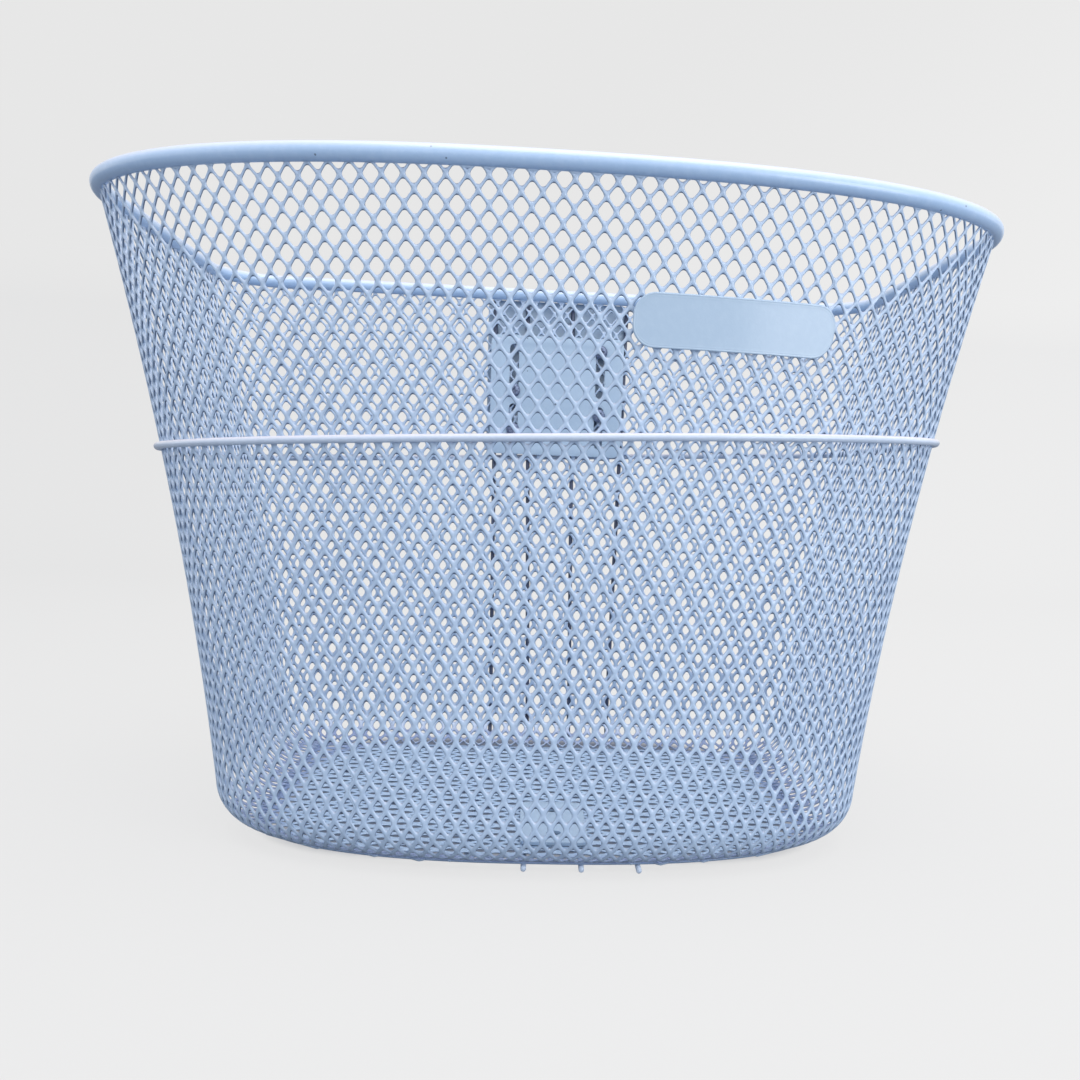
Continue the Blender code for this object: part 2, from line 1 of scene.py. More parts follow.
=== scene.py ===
# %% [markdown]
# # A wire bicycle basket
# The wall of this front basket is one sheet of expanded metal: steel that was slit and pulled open into a
# net of diamonds, then bent round, with its top rolled into a thick rim and its foot turned in to a flat
# net, the floor. Wires, plates and screws are added, and light blue powder paint covers most of it. The
# imported model gives every piece its real place, so the first step loads it.

# %% Load the imported model
import json
import math
import bpy
import bmesh
import numpy
from mathutils import Matrix, Vector

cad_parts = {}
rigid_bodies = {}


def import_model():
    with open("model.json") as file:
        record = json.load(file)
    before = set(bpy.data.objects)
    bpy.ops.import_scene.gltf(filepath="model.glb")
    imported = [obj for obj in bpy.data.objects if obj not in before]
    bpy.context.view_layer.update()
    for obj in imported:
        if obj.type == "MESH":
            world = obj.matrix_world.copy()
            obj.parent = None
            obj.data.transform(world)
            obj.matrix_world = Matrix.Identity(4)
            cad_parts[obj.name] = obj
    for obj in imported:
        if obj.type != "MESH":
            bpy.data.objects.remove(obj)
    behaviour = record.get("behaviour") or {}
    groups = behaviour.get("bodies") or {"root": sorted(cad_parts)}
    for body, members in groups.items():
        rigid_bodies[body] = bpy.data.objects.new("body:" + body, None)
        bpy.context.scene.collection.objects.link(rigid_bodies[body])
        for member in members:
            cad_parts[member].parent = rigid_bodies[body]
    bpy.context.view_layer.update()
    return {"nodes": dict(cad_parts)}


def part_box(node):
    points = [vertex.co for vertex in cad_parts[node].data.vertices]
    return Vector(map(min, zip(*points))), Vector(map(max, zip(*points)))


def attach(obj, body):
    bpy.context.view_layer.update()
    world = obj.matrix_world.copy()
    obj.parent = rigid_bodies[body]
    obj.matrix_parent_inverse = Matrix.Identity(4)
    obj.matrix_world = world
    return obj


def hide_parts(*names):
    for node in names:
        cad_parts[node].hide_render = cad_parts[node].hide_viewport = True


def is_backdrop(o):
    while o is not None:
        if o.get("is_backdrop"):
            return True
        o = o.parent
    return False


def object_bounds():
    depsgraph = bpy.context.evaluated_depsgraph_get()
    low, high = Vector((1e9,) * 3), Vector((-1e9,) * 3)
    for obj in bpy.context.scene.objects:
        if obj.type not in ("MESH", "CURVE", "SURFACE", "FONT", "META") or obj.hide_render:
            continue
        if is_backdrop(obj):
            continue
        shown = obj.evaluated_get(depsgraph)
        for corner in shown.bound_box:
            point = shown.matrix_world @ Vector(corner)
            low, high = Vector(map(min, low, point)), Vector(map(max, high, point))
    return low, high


for old in list(bpy.data.objects):
    bpy.data.objects.remove(old)
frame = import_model()
BODY = "root"
print("solid pieces:", len(frame["nodes"]))

# %% [markdown]
# ## The camera
# The camera decides how much of each piece is seen. From close by, the near rim looks much larger than
# the far rim, so the distance matters as much as the angle. A new camera looks down, so a quarter turn
# comes first, then a small roll, a tilt and a level turn.

# %% Place the camera
CAMERA_PLACE = Vector((-0.0099, -0.5100, 0.1485))
CAMERA_YAW = math.radians(-4.02)
CAMERA_TILT = math.radians(-11.36)
CAMERA_ROLL = math.radians(-2.30)
LENS = 36.67
SHIFT_X = -0.0514
SHIFT_Y = 0.1595


def added(name, data):
    """A new object in the scene."""
    obj = bpy.data.objects.new(name, data)
    bpy.context.scene.collection.objects.link(obj)
    return obj


camera = added("camera", bpy.data.cameras.new("camera"))
turned = Matrix.Translation(CAMERA_PLACE)
for angle, axis in ((CAMERA_YAW, "Z"), (CAMERA_TILT, "X"), (CAMERA_ROLL, "Y"), (math.pi / 2, "X")):
    turned = turned @ Matrix.Rotation(angle, 4, axis)
camera.matrix_world = turned
camera.data.lens = LENS
camera.data.shift_x = SHIFT_X
camera.data.shift_y = SHIFT_Y
camera.data.clip_start = 0.01
bpy.context.scene.camera = camera
print("camera at", [round(value, 3) for value in camera.matrix_world.translation])

# %% [markdown]
# ## Sums written as expressions
# Nodes do their sums with boxes and links, which are hard to read when they are written out. This small
# class wraps a socket, and adding two wrapped sockets adds the Math node that does it. The graph's own
# method adds any other node.

# %% A socket that does sums
class Wire:
    """A node's output. A sum with it adds a Math node, or a Vector Math node where it is a vector."""

    def __init__(self, graph, node, socket):
        self.graph, self.node, self.socket = graph, node, socket

    def of(self, name):
        """Another output of the same node."""
        return Wire(self.graph, self.node, self.node.outputs[name])

    def math(self, operation, *values):
        """The node of an operation."""
        kind = "ShaderNodeVectorMath" if self.socket.type == "VECTOR" else "ShaderNodeMath"
        return self.graph.node(kind, dict(enumerate(values)), operation=operation)

    def __getattr__(self, operation):
        """Any operation by its name, as in angle.sine() or share.minimum(1)."""
        return lambda *others: self.math(operation.upper(), self, *others)

    def scaled(self, scale):
        """A vector times a number."""
        return self.graph.node("ShaderNodeVectorMath", {0: self, "Scale": scale}, operation="SCALE")

    def split(self):
        """The three numbers of a vector."""
        parts = self.graph.node("ShaderNodeSeparateXYZ", {0: self})
        return parts.of("X"), parts.of("Y"), parts.of("Z")

    def __add__(self, other):
        return self.math("ADD", self, other)

    def __sub__(self, other):
        return self.math("SUBTRACT", self, other)

    def __mul__(self, other):
        return self.math("MULTIPLY", self, other)

    def __truediv__(self, other):
        return self.math("DIVIDE", self, other)

    def __rsub__(self, other):
        return self.math("SUBTRACT", other, self)

    def __rtruediv__(self, other):
        return self.math("DIVIDE", other, self)

    __radd__ = __add__
    __rmul__ = __mul__


class Graph:
    """A node tree that is built by calls and expressions."""

    def __init__(self, tree):
        self.tree = tree

    def node(self, kind, inputs=None, output=0, **settings):
        """Add a node: its settings first, then a value or a link for each socket named."""
        node = self.tree.nodes.new(kind)
        for name, value in settings.items():
            setattr(node, name, value)
        for name, value in (inputs or {}).items():
            if isinstance(value, Wire):
                self.tree.links.new(value.socket, node.inputs[name])
            else:
                node.inputs[name].default_value = value
        return Wire(self, node, node.outputs[output])

    def joined(self, x, y, z):
        """A vector from three numbers."""
        return self.node("ShaderNodeCombineXYZ", {"X": x, "Y": y, "Z": z})

    def position(self):
        """The three numbers of each point's place."""
        return self.node("GeometryNodeInputPosition").split()

    def moved(self, geometry, place):
        """A geometry with its points at new places."""
        return self.node("GeometryNodeSetPosition", {"Geometry": geometry, "Position": place})


print("wired sums ready")

# %% [markdown]
# ## Trees with named inputs
# Each Geometry Nodes tree below is a small machine with dials, its named inputs. These helpers make a
# tree, and put it on an object, turn its dials and freeze the result into a plain mesh.

# %% Make a tree, use a tree
SOCKETS = {"geometry": "NodeSocketGeometry", "number": "NodeSocketFloat", "count": "NodeSocketInt",
           "object": "NodeSocketObject", "material": "NodeSocketMaterial", "vector": "NodeSocketVector"}


def new_tree(name, dials, result="geometry"):
    """A tree with named inputs: its graph, its inputs and its output node."""
    tree = bpy.data.node_groups.new(name, "GeometryNodeTree")
    for dial, kind in dials.items():
        tree.interface.new_socket(dial, in_out="INPUT", socket_type=SOCKETS[kind])
    tree.interface.new_socket("Result", in_out="OUTPUT", socket_type=SOCKETS[result])
    graph = Graph(tree)
    return graph, graph.node("NodeGroupInput"), tree.nodes.new("NodeGroupOutput")


def finish_tree(graph, end, wire):
    """Link the result of a tree."""
    graph.tree.links.new(wire.socket, end.inputs["Result"])
    return graph.tree


def made_by(tree, name, mesh=None, **dials):
    """The plain mesh that a tree makes from a mesh or from nothing."""
    start = added(name + "_start", mesh or bpy.data.meshes.new(name + "_start"))
    modifier = start.modifiers.new(name, "NODES")
    modifier.node_group = tree
    known = {item.name: item.identifier for item in tree.interface.items_tree if item.in_out == "INPUT"}
    for dial, value in dials.items():
        modifier[known[dial.replace("_", " ").capitalize()]] = value
    start.update_tag()
    evaluated = start.evaluated_get(bpy.context.evaluated_depsgraph_get())
    result = bpy.data.meshes.new_from_object(evaluated)
    result.name = name
    bpy.data.objects.remove(start)
    return added(name, result)


print("kinds of dial:", ", ".join(SOCKETS))

# %% [markdown]
# ## The two outlines
# Seen from above, the rim is flat at the back, with rounded corners, and bowed at the front. The foot has
# a smaller outline of the same kind, and the wall is everything between the two. Both are flat curves
# with points at equal steps, so that the same share of the way round belongs together on both.

# %% Sizes of the outlines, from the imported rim
RIM_TUBE_D = 0.0069
RIM_LOW, RIM_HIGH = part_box("rim_tube")
RIM_HALF_WIDTH = RIM_HIGH.x - RIM_TUBE_D / 2
RIM_BACK = RIM_HIGH.y - RIM_TUBE_D / 2
RIM_FRONT = RIM_LOW.y + RIM_TUBE_D / 2
RIM_HEIGHT = (RIM_LOW.z + RIM_HIGH.z) / 2
RIM_FRONT_DEPTH = 0.0883
WIDEST_Y = RIM_FRONT + RIM_FRONT_DEPTH
RIM_CORNER_RADIUS = 0.033
FRONT_ROUNDNESS = 2.4
FOOT_HALF_WIDTH = 0.1393
FOOT_SHIFT = 0.0151
FOOT_FRONT_DEPTH = 0.0822
FOOT_CORNER_RADIUS = 0.0251
CORNER_STEPS = 20
FRONT_STEPS = 80
LOOP_STEPS = 480
print("rim in mm:", round(2000 * RIM_HALF_WIDTH), "by", round(1000 * (RIM_BACK - RIM_FRONT)))


# %% Draw the outlines
def half_outline(half_width, front_depth, back_depth, corner_radius):
    """The +X half of an outline, from the middle of the back to the front."""
    points = [Vector((0, back_depth, 0))]
    corner = Vector((half_width - corner_radius, back_depth - corner_radius, 0))
    for step in range(CORNER_STEPS + 1):
        angle = math.pi / 2 * (1 - step / CORNER_STEPS)
        points.append(corner + corner_radius * Vector((math.cos(angle), math.sin(angle), 0)))
    for step in range(FRONT_STEPS + 1):
        angle = math.pi / 2 * step / FRONT_STEPS
        across = max(math.cos(angle), 0) ** (2 / FRONT_ROUNDNESS)
        forward = math.sin(angle) ** (2 / FRONT_ROUNDNESS)
        points.append(Vector((half_width * across, -front_depth * forward, 0)))
    return points


def walked(points):
    """How far each point is along a line of points."""
    reach = [0]
    for first, second in zip(points, points[1:]):
        reach.append(reach[-1] + (second - first).length)
    return reach


def even_steps(points, count):
    """Points at equal distances along a line of points, and its length."""
    reach = walked(points)
    spaced, here = [], 0
    for step in range(count + 1):
        target = reach[-1] * step / count
        while here < len(points) - 2 and reach[here + 1] < target:
            here += 1
        stretch = reach[here + 1] - reach[here]
        spaced.append(points[here].lerp(points[here + 1], min((target - reach[here]) / stretch, 1)))
    return spaced, reach[-1]


def closed_line(name, points):
    """A closed curve through points."""
    curve = bpy.data.curves.new(name, "CURVE")
    curve.dimensions = "3D"
    line = curve.splines.new("POLY")
    line.points.add(len(points) - 1)
    for point, target in zip(line.points, points):
        point.co = (*target, 1)
    line.use_cyclic_u = True
    return added(name, curve)


def outline(name, centre_y, *sizes):
    """A closed flat curve, from the middle of the back round by +X, and its length."""
    half, length = even_steps(half_outline(*sizes), LOOP_STEPS // 2)
    loop = half + [Vector((-point.x, point.y, 0)) for point in reversed(half[1:-1])]
    return closed_line(name, [(point.x, point.y + centre_y, 0) for point in loop]), 2 * length


RIM_LINE, RIM_LENGTH = outline("rim_line", WIDEST_Y, RIM_HALF_WIDTH, RIM_FRONT_DEPTH,
                               RIM_BACK - WIDEST_Y, RIM_CORNER_RADIUS)
FOOT_LINE, FOOT_LENGTH = outline("foot_line", WIDEST_Y + FOOT_SHIFT, FOOT_HALF_WIDTH, FOOT_FRONT_DEPTH,
                                 RIM_BACK - WIDEST_Y - FOOT_SHIFT, FOOT_CORNER_RADIUS)
print("lengths in mm:", round(1000 * RIM_LENGTH), "at the rim,", round(1000 * FOOT_LENGTH), "at the foot")

# %% [markdown]
# ## A map from flat sheet to wall
# The maker bends a flat sheet, and so does this lesson. A place on the sheet has a turn, its share of the
# way round, and a drop, its length down from the rim. Down to the foot the wall blends between the
# outlines, a little fuller than a straight blend. Past the foot it turns in on a quarter circle and runs
# on as a level flange.

# %% Group: a place on the wall
SHEET_T = 0.0012
REAR_WIRE_D = 0.0022
GAP = 0.0003
WALL_BULGE = 0.46
TURN_RADIUS = 0.0178
SEAM_WIDTH = 0.005
FLOOR_Z = REAR_WIRE_D + GAP + SHEET_T / 2
FOOT_Z = FLOOR_Z + SHEET_T + GAP + TURN_RADIUS
FOOT_DROP = RIM_HEIGHT - FOOT_Z
TURN_LENGTH = TURN_RADIUS * math.pi / 2
WALL_END = FOOT_DROP + TURN_LENGTH + SEAM_WIDTH


def outline_at(graph, line, turn):
    """The place and the direction of an outline at a share of the way round."""
    info = graph.node("GeometryNodeObjectInfo", {"Object": line}, "Geometry")
    sample = graph.node("GeometryNodeSampleCurve", {"Curves": info, "Factor": turn.fract()},
                        mode="FACTOR", use_all_curves=True)
    return sample.of("Position"), sample.of("Tangent")


def wall_place_group():
    """Turn and drop in, a place on the middle of the wall sheet out."""
    graph, start, end = new_tree("place_on_wall", {"Turn": "number", "Drop": "number"}, "vector")
    turn, drop = start.of("Turn"), start.of("Drop")
    rim_place, _ = outline_at(graph, RIM_LINE, turn)
    foot_place, foot_way = outline_at(graph, FOOT_LINE, turn)
    share = (drop / FOOT_DROP).minimum(1)
    taper = share + WALL_BULGE * share * (1 - share)
    across = (foot_place - rim_place).scaled(taper)
    past = (drop - FOOT_DROP).maximum(0)
    bend = (past / TURN_RADIUS).minimum(math.pi / 2)
    inset = TURN_RADIUS * (1 - bend.cosine()) + (past - TURN_LENGTH).maximum(0)
    inward = foot_way.cross_product((0, 0, 1)).normalize()
    height = RIM_HEIGHT - drop.minimum(FOOT_DROP) - TURN_RADIUS * bend.sine()
    place = rim_place + across + inward.scaled(inset) + graph.joined(0, 0, height)
    return finish_tree(graph, end, place)


WALL_PLACE = wall_place_group()
print("nodes in the group:", len(WALL_PLACE.nodes))

# %% [markdown]
# ## Wrapping a flat piece on the wall
# The wrap bends a flat mesh. Its X is the length round the rim, its Y the drop and its Z the height off
# the sheet. The way outwards comes from two neighbouring places, one a little further round and one a
# little further down.

# %% Group: wrap on the wall
NEAR = 0.0004


def wall_place(graph, turn, drop):
    """Use the group inside another tree."""
    return graph.node("GeometryNodeGroup", {"Turn": turn, "Drop": drop}, node_tree=WALL_PLACE)


def wrapped(graph, geometry):
    """Bend a flat geometry on the wall inside a tree."""
    length, drop, out = graph.position()
    turn = length / RIM_LENGTH
    place = wall_place(graph, turn, drop)
    round_way = wall_place(graph, turn + NEAR, drop) - place
    down_way = wall_place(graph, turn, drop + NEAR) - place
    outward = round_way.cross_product(down_way).normalize()
    return graph.moved(geometry, place + outward.scaled(out))


graph, start, end = new_tree("wrap_on_wall", {"Flat": "geometry"})
WRAP = finish_tree(graph, end, wrapped(graph, start.of("Flat")))


def on_wall(places):
    """World places of points given as (length round the rim, drop, height off the sheet)."""
    mesh = bpy.data.meshes.new("flat_places")
    mesh.from_pydata(places, [], [])
    marks = made_by(WRAP, "wall_marks", mesh)
    found = [vertex.co.copy() for vertex in marks.data.vertices]
    bpy.data.objects.remove(marks)
    return found


def round_wall(drop):
    """World places all round the wall at one drop."""
    return on_wall([(RIM_LENGTH * step / LOOP_STEPS, drop, 0) for step in range(LOOP_STEPS)])


print("middle of the front rim:", [round(value, 3) for value in on_wall([(RIM_LENGTH / 2, 0, 0)])[0]])

# %% [markdown]
# ## One diamond
# Expanded metal repeats one cell, a diamond with an opening in it. The cell starts as a small grid. One
# side of it is bent round the diamond, the other goes from the top face over the opening's rounded edge
# to the bottom face. Every point notes on which side of the opening it lies and how near it is to the
# edge.

# %% The cell
NET_DIALS = {"Columns": "count", "Rows": "count", "First column": "count", "First row": "number",
             "Half width": "number", "Half height": "number", "Opening width": "number",
             "Opening height": "number", "Strand": "number", "Thickness": "number", "Material": "material"}
CELL_SIDES = 16
CELL_RINGS = 4
SIDE_END = math.pi / 8
TOP_START = math.pi / 4


def rounded_diamond(graph, start, turn, side_x, side_y):
    """The opening's edge: straight along the strands, and round at the sides and above."""
    wide, high = start.of("Half width"), start.of("Half height")
    half_across, half_up = start.of("Opening width") / 2, start.of("Opening height") / 2
    slant = (wide * wide + high * high).sqrt()
    lean_x, lean_y = high / slant, wide / slant
    reach = wide * high / slant - start.of("Strand") / 2
    lean = wide.arctan2(high)
    side_radius = (reach / lean_x - half_across) / (1 / lean_x - 1)
    top_radius = (reach / lean_y - half_up) / (1 / lean_y - 1)
    side_angle = (turn / SIDE_END).minimum(1) * lean
    top_share = (turn / TOP_START - 1).maximum(0)
    top_angle = lean + top_share * (math.pi / 2 - lean)
    side = graph.joined(half_across - side_radius * (1 - side_angle.cosine()),
                        side_radius * side_angle.sine(), 0)
    top = graph.joined(top_radius * top_angle.cosine(),
                       half_up - top_radius * (1 - top_angle.sine()), 0)
    is_top = turn.greater_than((SIDE_END + TOP_START) / 2)
    return (side.scaled(1 - is_top) + top.scaled(is_top)) * graph.joined(side_x, side_y, 0)


def noted(graph, geometry, kind, name, value):
    """A geometry whose points keep a value under a name."""
    return graph.node("GeometryNodeStoreNamedAttribute",
                      {"Geometry": geometry, "Name": name, "Value": value}, data_type=kind)


def net_cell(graph, start):
    """One diamond of the net, centred on zero."""
    grid = graph.node("GeometryNodeMeshGrid", {"Size X": 1, "Size Y": 1, "Vertices X": CELL_SIDES + 1,
                                               "Vertices Y": CELL_RINGS + 1}, "Mesh")
    along, across, _ = graph.position()
    angle = 2 * math.pi * (along + 0.5)
    ring = math.pi * (across + 0.5)
    cosine, sine = angle.cosine(), angle.sine()
    side_x, side_y = cosine.sign(), sine.sign()
    turn = sine.absolute().arctan2(cosine.absolute())
    outer = graph.joined(start.of("Half width") * cosine * cosine * side_x,
                         start.of("Half height") * sine * sine * side_y, 0)
    opening = rounded_diamond(graph, start, turn, side_x, side_y)
    near_edge = ring.sine()
    step = (opening - outer).scaled(near_edge)
    height = start.of("Thickness") / 2 * ring.cosine()
    place = outer + step + graph.joined(0, 0, height)
    cell = noted(graph, grid, "FLOAT_VECTOR", "opening_side", opening.scaled(near_edge))
    cell = noted(graph, cell, "FLOAT", "opening_edge", near_edge)
    return graph.moved(cell, place)


print("points in a cell:", (CELL_SIDES + 1) * (CELL_RINGS + 1))

# %% [markdown]
# ## How the sheet lies
# The flat net isn't quite even. Its rows lie further apart lower down, and sag a little at the basket's
# sides. Towards the foot the openings close up and their tips grow blunter: each point moves back by a
# share of the note that it keeps.

# %% Settle the net
ROW_STRETCH = 0.72
FLAT_END = (math.sqrt(1 + 4 * ROW_STRETCH * WALL_END) - 1) / (2 * ROW_STRETCH)
ROW_SAG = 0.0090
RIM_SQUEEZE = 0.4
OPENING_HEIGHT = 0.0060
SHRINK_ACROSS = 0.19
SHRINK_DOWN = 0.33
TIP_BLUNT = 1.3


def row_drop(down, sway):
    """How low a row of the flat net lies, in numbers or in wires."""
    return down * (1 + ROW_STRETCH * down) + ROW_SAG * sway * sway * (1 - down / FLAT_END)


def settled_drop(length, down):
    """How low a point of the flat net lies on the wall."""
    drop = row_drop(down, (2 * math.pi * (length / RIM_LENGTH - 0.5)).sine())
    return drop.maximum(drop * RIM_SQUEEZE)


def settled(graph, geometry):
    """The flat net with its rows and openings as they lie on the wall."""
    length, down, out = graph.position()
    side = graph.node("GeometryNodeInputNamedAttribute", {"Name": "opening_side"},
                      data_type="FLOAT_VECTOR")
    side_across, side_down, _ = side.split()
    share = (down / FLAT_END).maximum(0)
    blunt = (side_down.absolute() / (OPENING_HEIGHT / 2)).power(TIP_BLUNT)
    closed = side_down * blunt * SHRINK_DOWN * share.sqrt() * (1 + 2 * ROW_STRETCH * down)
    narrowed = length - side_across * SHRINK_ACROSS * share
    return graph.moved(geometry, graph.joined(narrowed, settled_drop(length, down) - closed, out))


print("flat net in mm:", round(1000 * FLAT_END), "and on the wall", round(1000 * WALL_END))

# %% [markdown]
# ## Many diamonds
# Cells stand on a grid of points, with every second row moved half a cell, and are joined where they
# meet. Where the net ends, its open edge is closed, like a cut strand. One tree makes the wall's net and
# another the floor's, which is cut to an outline instead of being bent.

# %% Trees: the two nets
MERGE_DISTANCE = 0.00002
HIGHEST_ROW = -0.0006


def cell_places(graph, start):
    """Points for the cells, every second row moved half a cell."""
    columns, rows = start.of("Columns"), start.of("Rows")
    grid = graph.node("GeometryNodeMeshGrid", {"Size X": columns - 1, "Size Y": rows - 1,
                                               "Vertices X": columns, "Vertices Y": rows}, "Mesh")
    across, down, _ = graph.position()
    column = across + (columns - 1) / 2
    row = (down + (rows - 1) / 2).round()
    aside = row.modulo(2)
    return graph.moved(grid, graph.joined(
        start.of("Half width") * (2 * (start.of("First column") + column) + aside),
        start.of("First row") + row * start.of("Half height"), 0))


def inside_outline(graph, line):
    """1 for the points above a closed flat curve, 0 for the others."""
    info = graph.node("GeometryNodeObjectInfo", {"Object": line}, "Geometry")
    above = graph.node("GeometryNodeInputPosition") + (0, 0, 1)
    return graph.node("GeometryNodeRaycast", {
        "Target Geometry": graph.node("GeometryNodeFillCurve", {"Curve": info}),
        "Source Position": above, "Ray Direction": (0, 0, -1), "Ray Length": 2}, "Is Hit")


def merged(graph, geometry):
    """A geometry with its points joined where they meet."""
    return graph.node("GeometryNodeMergeByDistance", {"Geometry": geometry, "Distance": MERGE_DISTANCE})


def cells_joined(graph, cells, thickness):
    """Cells joined where they meet, and closed from top to bottom where the net ends."""
    real = graph.node("GeometryNodeRealizeInstances", {"Geometry": cells})
    one_face = graph.node("GeometryNodeInputMeshEdgeNeighbors").compare(1, 0.1)
    on_top = graph.position()[2].greater_than(0)
    closed = graph.node("GeometryNodeExtrudeMesh", {
        "Mesh": merged(graph, real), "Selection": one_face * on_top,
        "Offset": graph.joined(0, 0, -1), "Offset Scale": thickness}, mode="EDGES")
    return merged(graph, closed)


def net_tree(name, on_the_wall):
    """The tree of a net: on the wall, or flat and cut to an outline."""
    dials = NET_DIALS if on_the_wall else {**NET_DIALS, "Outline": "object", "Height": "number"}
    graph, start, end = new_tree(name, dials)
    if on_the_wall:
        unwanted = settled_drop(*graph.position()[:2]).less_than(HIGHEST_ROW)
    else:
        unwanted = 1 - inside_outline(graph, start.of("Outline"))
    places = graph.node("GeometryNodeDeleteGeometry",
                        {"Geometry": cell_places(graph, start), "Selection": unwanted})
    cells = graph.node("GeometryNodeInstanceOnPoints",
                       {"Points": places, "Instance": net_cell(graph, start)})
    net = cells_joined(graph, cells, start.of("Thickness"))
    if on_the_wall:
        net = wrapped(graph, settled(graph, net))
        net = graph.node("GeometryNodeRemoveAttribute", {"Geometry": net, "Name": "opening_side"})
    else:
        lift = graph.joined(0, 0, start.of("Height"))
        net = graph.node("GeometryNodeSetPosition", {"Geometry": net, "Offset": lift})
    net = graph.node("GeometryNodeSetShadeSmooth", {"Geometry": net})
    net = graph.node("GeometryNodeRealizeInstances", {"Geometry": net})
    net = graph.node("GeometryNodeSetMaterial", {"Geometry": net, "Material": start.of("Material")})
    return finish_tree(graph, end, net)


NET_ON_WALL = net_tree("net_on_wall", True)
NET_ON_FLOOR = net_tree("net_on_floor", False)
print("nodes in the wall net:", len(NET_ON_WALL.nodes), "and in the floor net:", len(NET_ON_FLOOR.nodes))

# %% [markdown]
# ## The wall's net
# About 150 diamonds go round the rim, in more than 50 rows. One mesh of them all would be heavy, so the
# wall is made as six panels that meet edge to edge.

# %% Build the wall
CELLS_ROUND = 155
CELL_ROWS = 52
CELL_HALF_WIDTH = RIM_LENGTH / CELLS_ROUND / 2
CELL_HALF_HEIGHT = 0.00444
OPENING_WIDTH = 0.00515
STRAND = 0.00086
STRAND_T = 0.0010
FIRST_ROW_DROP = -0.00834
PANEL_STARTS = (12, 38, 64, 90, 115, 141, 167)


def faced_out(obj):
    """The same object with every face turned outwards."""
    shape = bmesh.new()
    shape.from_mesh(obj.data)
    bmesh.ops.recalc_face_normals(shape, faces=shape.faces)
    shape.to_mesh(obj.data)
    shape.free()
    return obj


NET_PAINT = bpy.data.materials.new("net_finish")
WALL = []
for first, last in zip(PANEL_STARTS, PANEL_STARTS[1:]):
    panel = made_by(NET_ON_WALL, f"wall_panel_{len(WALL) + 1}", columns=last - first,
                    rows=CELL_ROWS, first_column=first, first_row=FIRST_ROW_DROP,
                    half_width=CELL_HALF_WIDTH, half_height=CELL_HALF_HEIGHT,
                    opening_width=OPENING_WIDTH, opening_height=OPENING_HEIGHT, strand=STRAND,
                    thickness=STRAND_T, material=NET_PAINT)
    WALL.append(faced_out(panel))
print("faces in the wall:", [len(panel.data.polygons) for panel in WALL])

# %% [markdown]
# ## The hem under the rim
# Just under the rim, sheet and paint close the net. This strip rounds the top of each first opening and
# fills what is left of the row above. Its lower edge comes down between the openings and stays high
# inside them.

# %% Build the hem
HEM_TOP = 0.0008
HEM_LINE = 0.0029
HEM_ROUND = 0.0024
HEM_SMALLEST = 0.0010
HEM_T = STRAND_T + 0.0001
HEM_STEPS_PER_CELL = 16
HEM_ROWS = 5
HEM_BLEND = 0.49
HEM_DEEPEST = 0.79


def smooth_mesh(name, points, faces):
    """A smooth mesh as an object."""
    mesh = bpy.data.meshes.new(name)
    mesh.from_pydata(points, [], faces)
    mesh.shade_smooth()
    return added(name, mesh)


def skin_faces(count, sides, closed_round):
    """The faces between rings of points, each ring joined to the next one."""
    faces = []
    for here in range(count if closed_round else count - 1):
        after = (here + 1) % count
        for side in range(sides):
            beside = (side + 1) % sides
            faces.append((here * sides + side, here * sides + beside,
                          after * sides + beside, after * sides + side))
    return faces


def sections_joined(name, sections, closed_round):
    """A closed skin over a row of cross-sections that have the same number of points."""
    count, sides = len(sections), len(sections[0])
    faces = skin_faces(count, sides, closed_round)
    if not closed_round:
        faces.append(tuple(range(sides)))
        faces.append(tuple((count - 1) * sides + side for side in range(sides)))
    return faced_out(smooth_mesh(name, [point for section in sections for point in section], faces))


def opening_room(length):
    """How far a place on the hem's line lies inside the nearest opening of the net."""
    slant = math.hypot(CELL_HALF_WIDTH, CELL_HALF_HEIGHT)
    reach = CELL_HALF_WIDTH * CELL_HALF_HEIGHT / slant - STRAND / 2
    sway = math.sin(2 * math.pi * (length / RIM_LENGTH - 0.5))
    room = -HEM_ROUND
    for row in range(HEM_ROWS):
        down = FIRST_ROW_DROP + row * CELL_HALF_HEIGHT
        middle = row_drop(down, sway)
        if middle + OPENING_HEIGHT / 2 < HEM_LINE + HEM_SMALLEST:
            continue
        half_chord = (reach - abs(HEM_LINE - middle) * CELL_HALF_WIDTH / slant) * slant / CELL_HALF_HEIGHT
        aside = abs((length / CELL_HALF_WIDTH - row % 2 + 1) % 2 - 1) * CELL_HALF_WIDTH
        room = max(room, min(half_chord, OPENING_WIDTH / 2) - aside)
    return room


steps = CELLS_ROUND * HEM_STEPS_PER_CELL
thin = HEM_T / 2
flat = []
for step in range(steps):
    length = RIM_LENGTH * step / steps
    missing = min(max(HEM_BLEND * HEM_ROUND - opening_room(length), 0), HEM_DEEPEST * HEM_ROUND)
    low = HEM_LINE + HEM_ROUND - math.sqrt(HEM_ROUND ** 2 - missing ** 2)
    edge = [(HEM_TOP, thin), (low - thin, thin), (low - 0.3 * thin, 0.7 * thin), (low, 0),
            (low - 0.3 * thin, -0.7 * thin), (low - thin, -thin), (HEM_TOP, -thin)]
    flat += [(length, drop, out) for drop, out in edge]
places = on_wall(flat)
sides = len(places) // steps
HEM = sections_joined("hem", [places[step * sides:(step + 1) * sides] for step in range(steps)], True)
print("faces in the hem:", len(HEM.data.polygons))

# %% [markdown]
# ## The floor's net
# The floor is a flat sheet of larger diamonds, with their long way from left to right. It is cut to the
# line where the wall turns level. Its cut strands end under the turned foot, on a closed edge that runs
# all the way round.

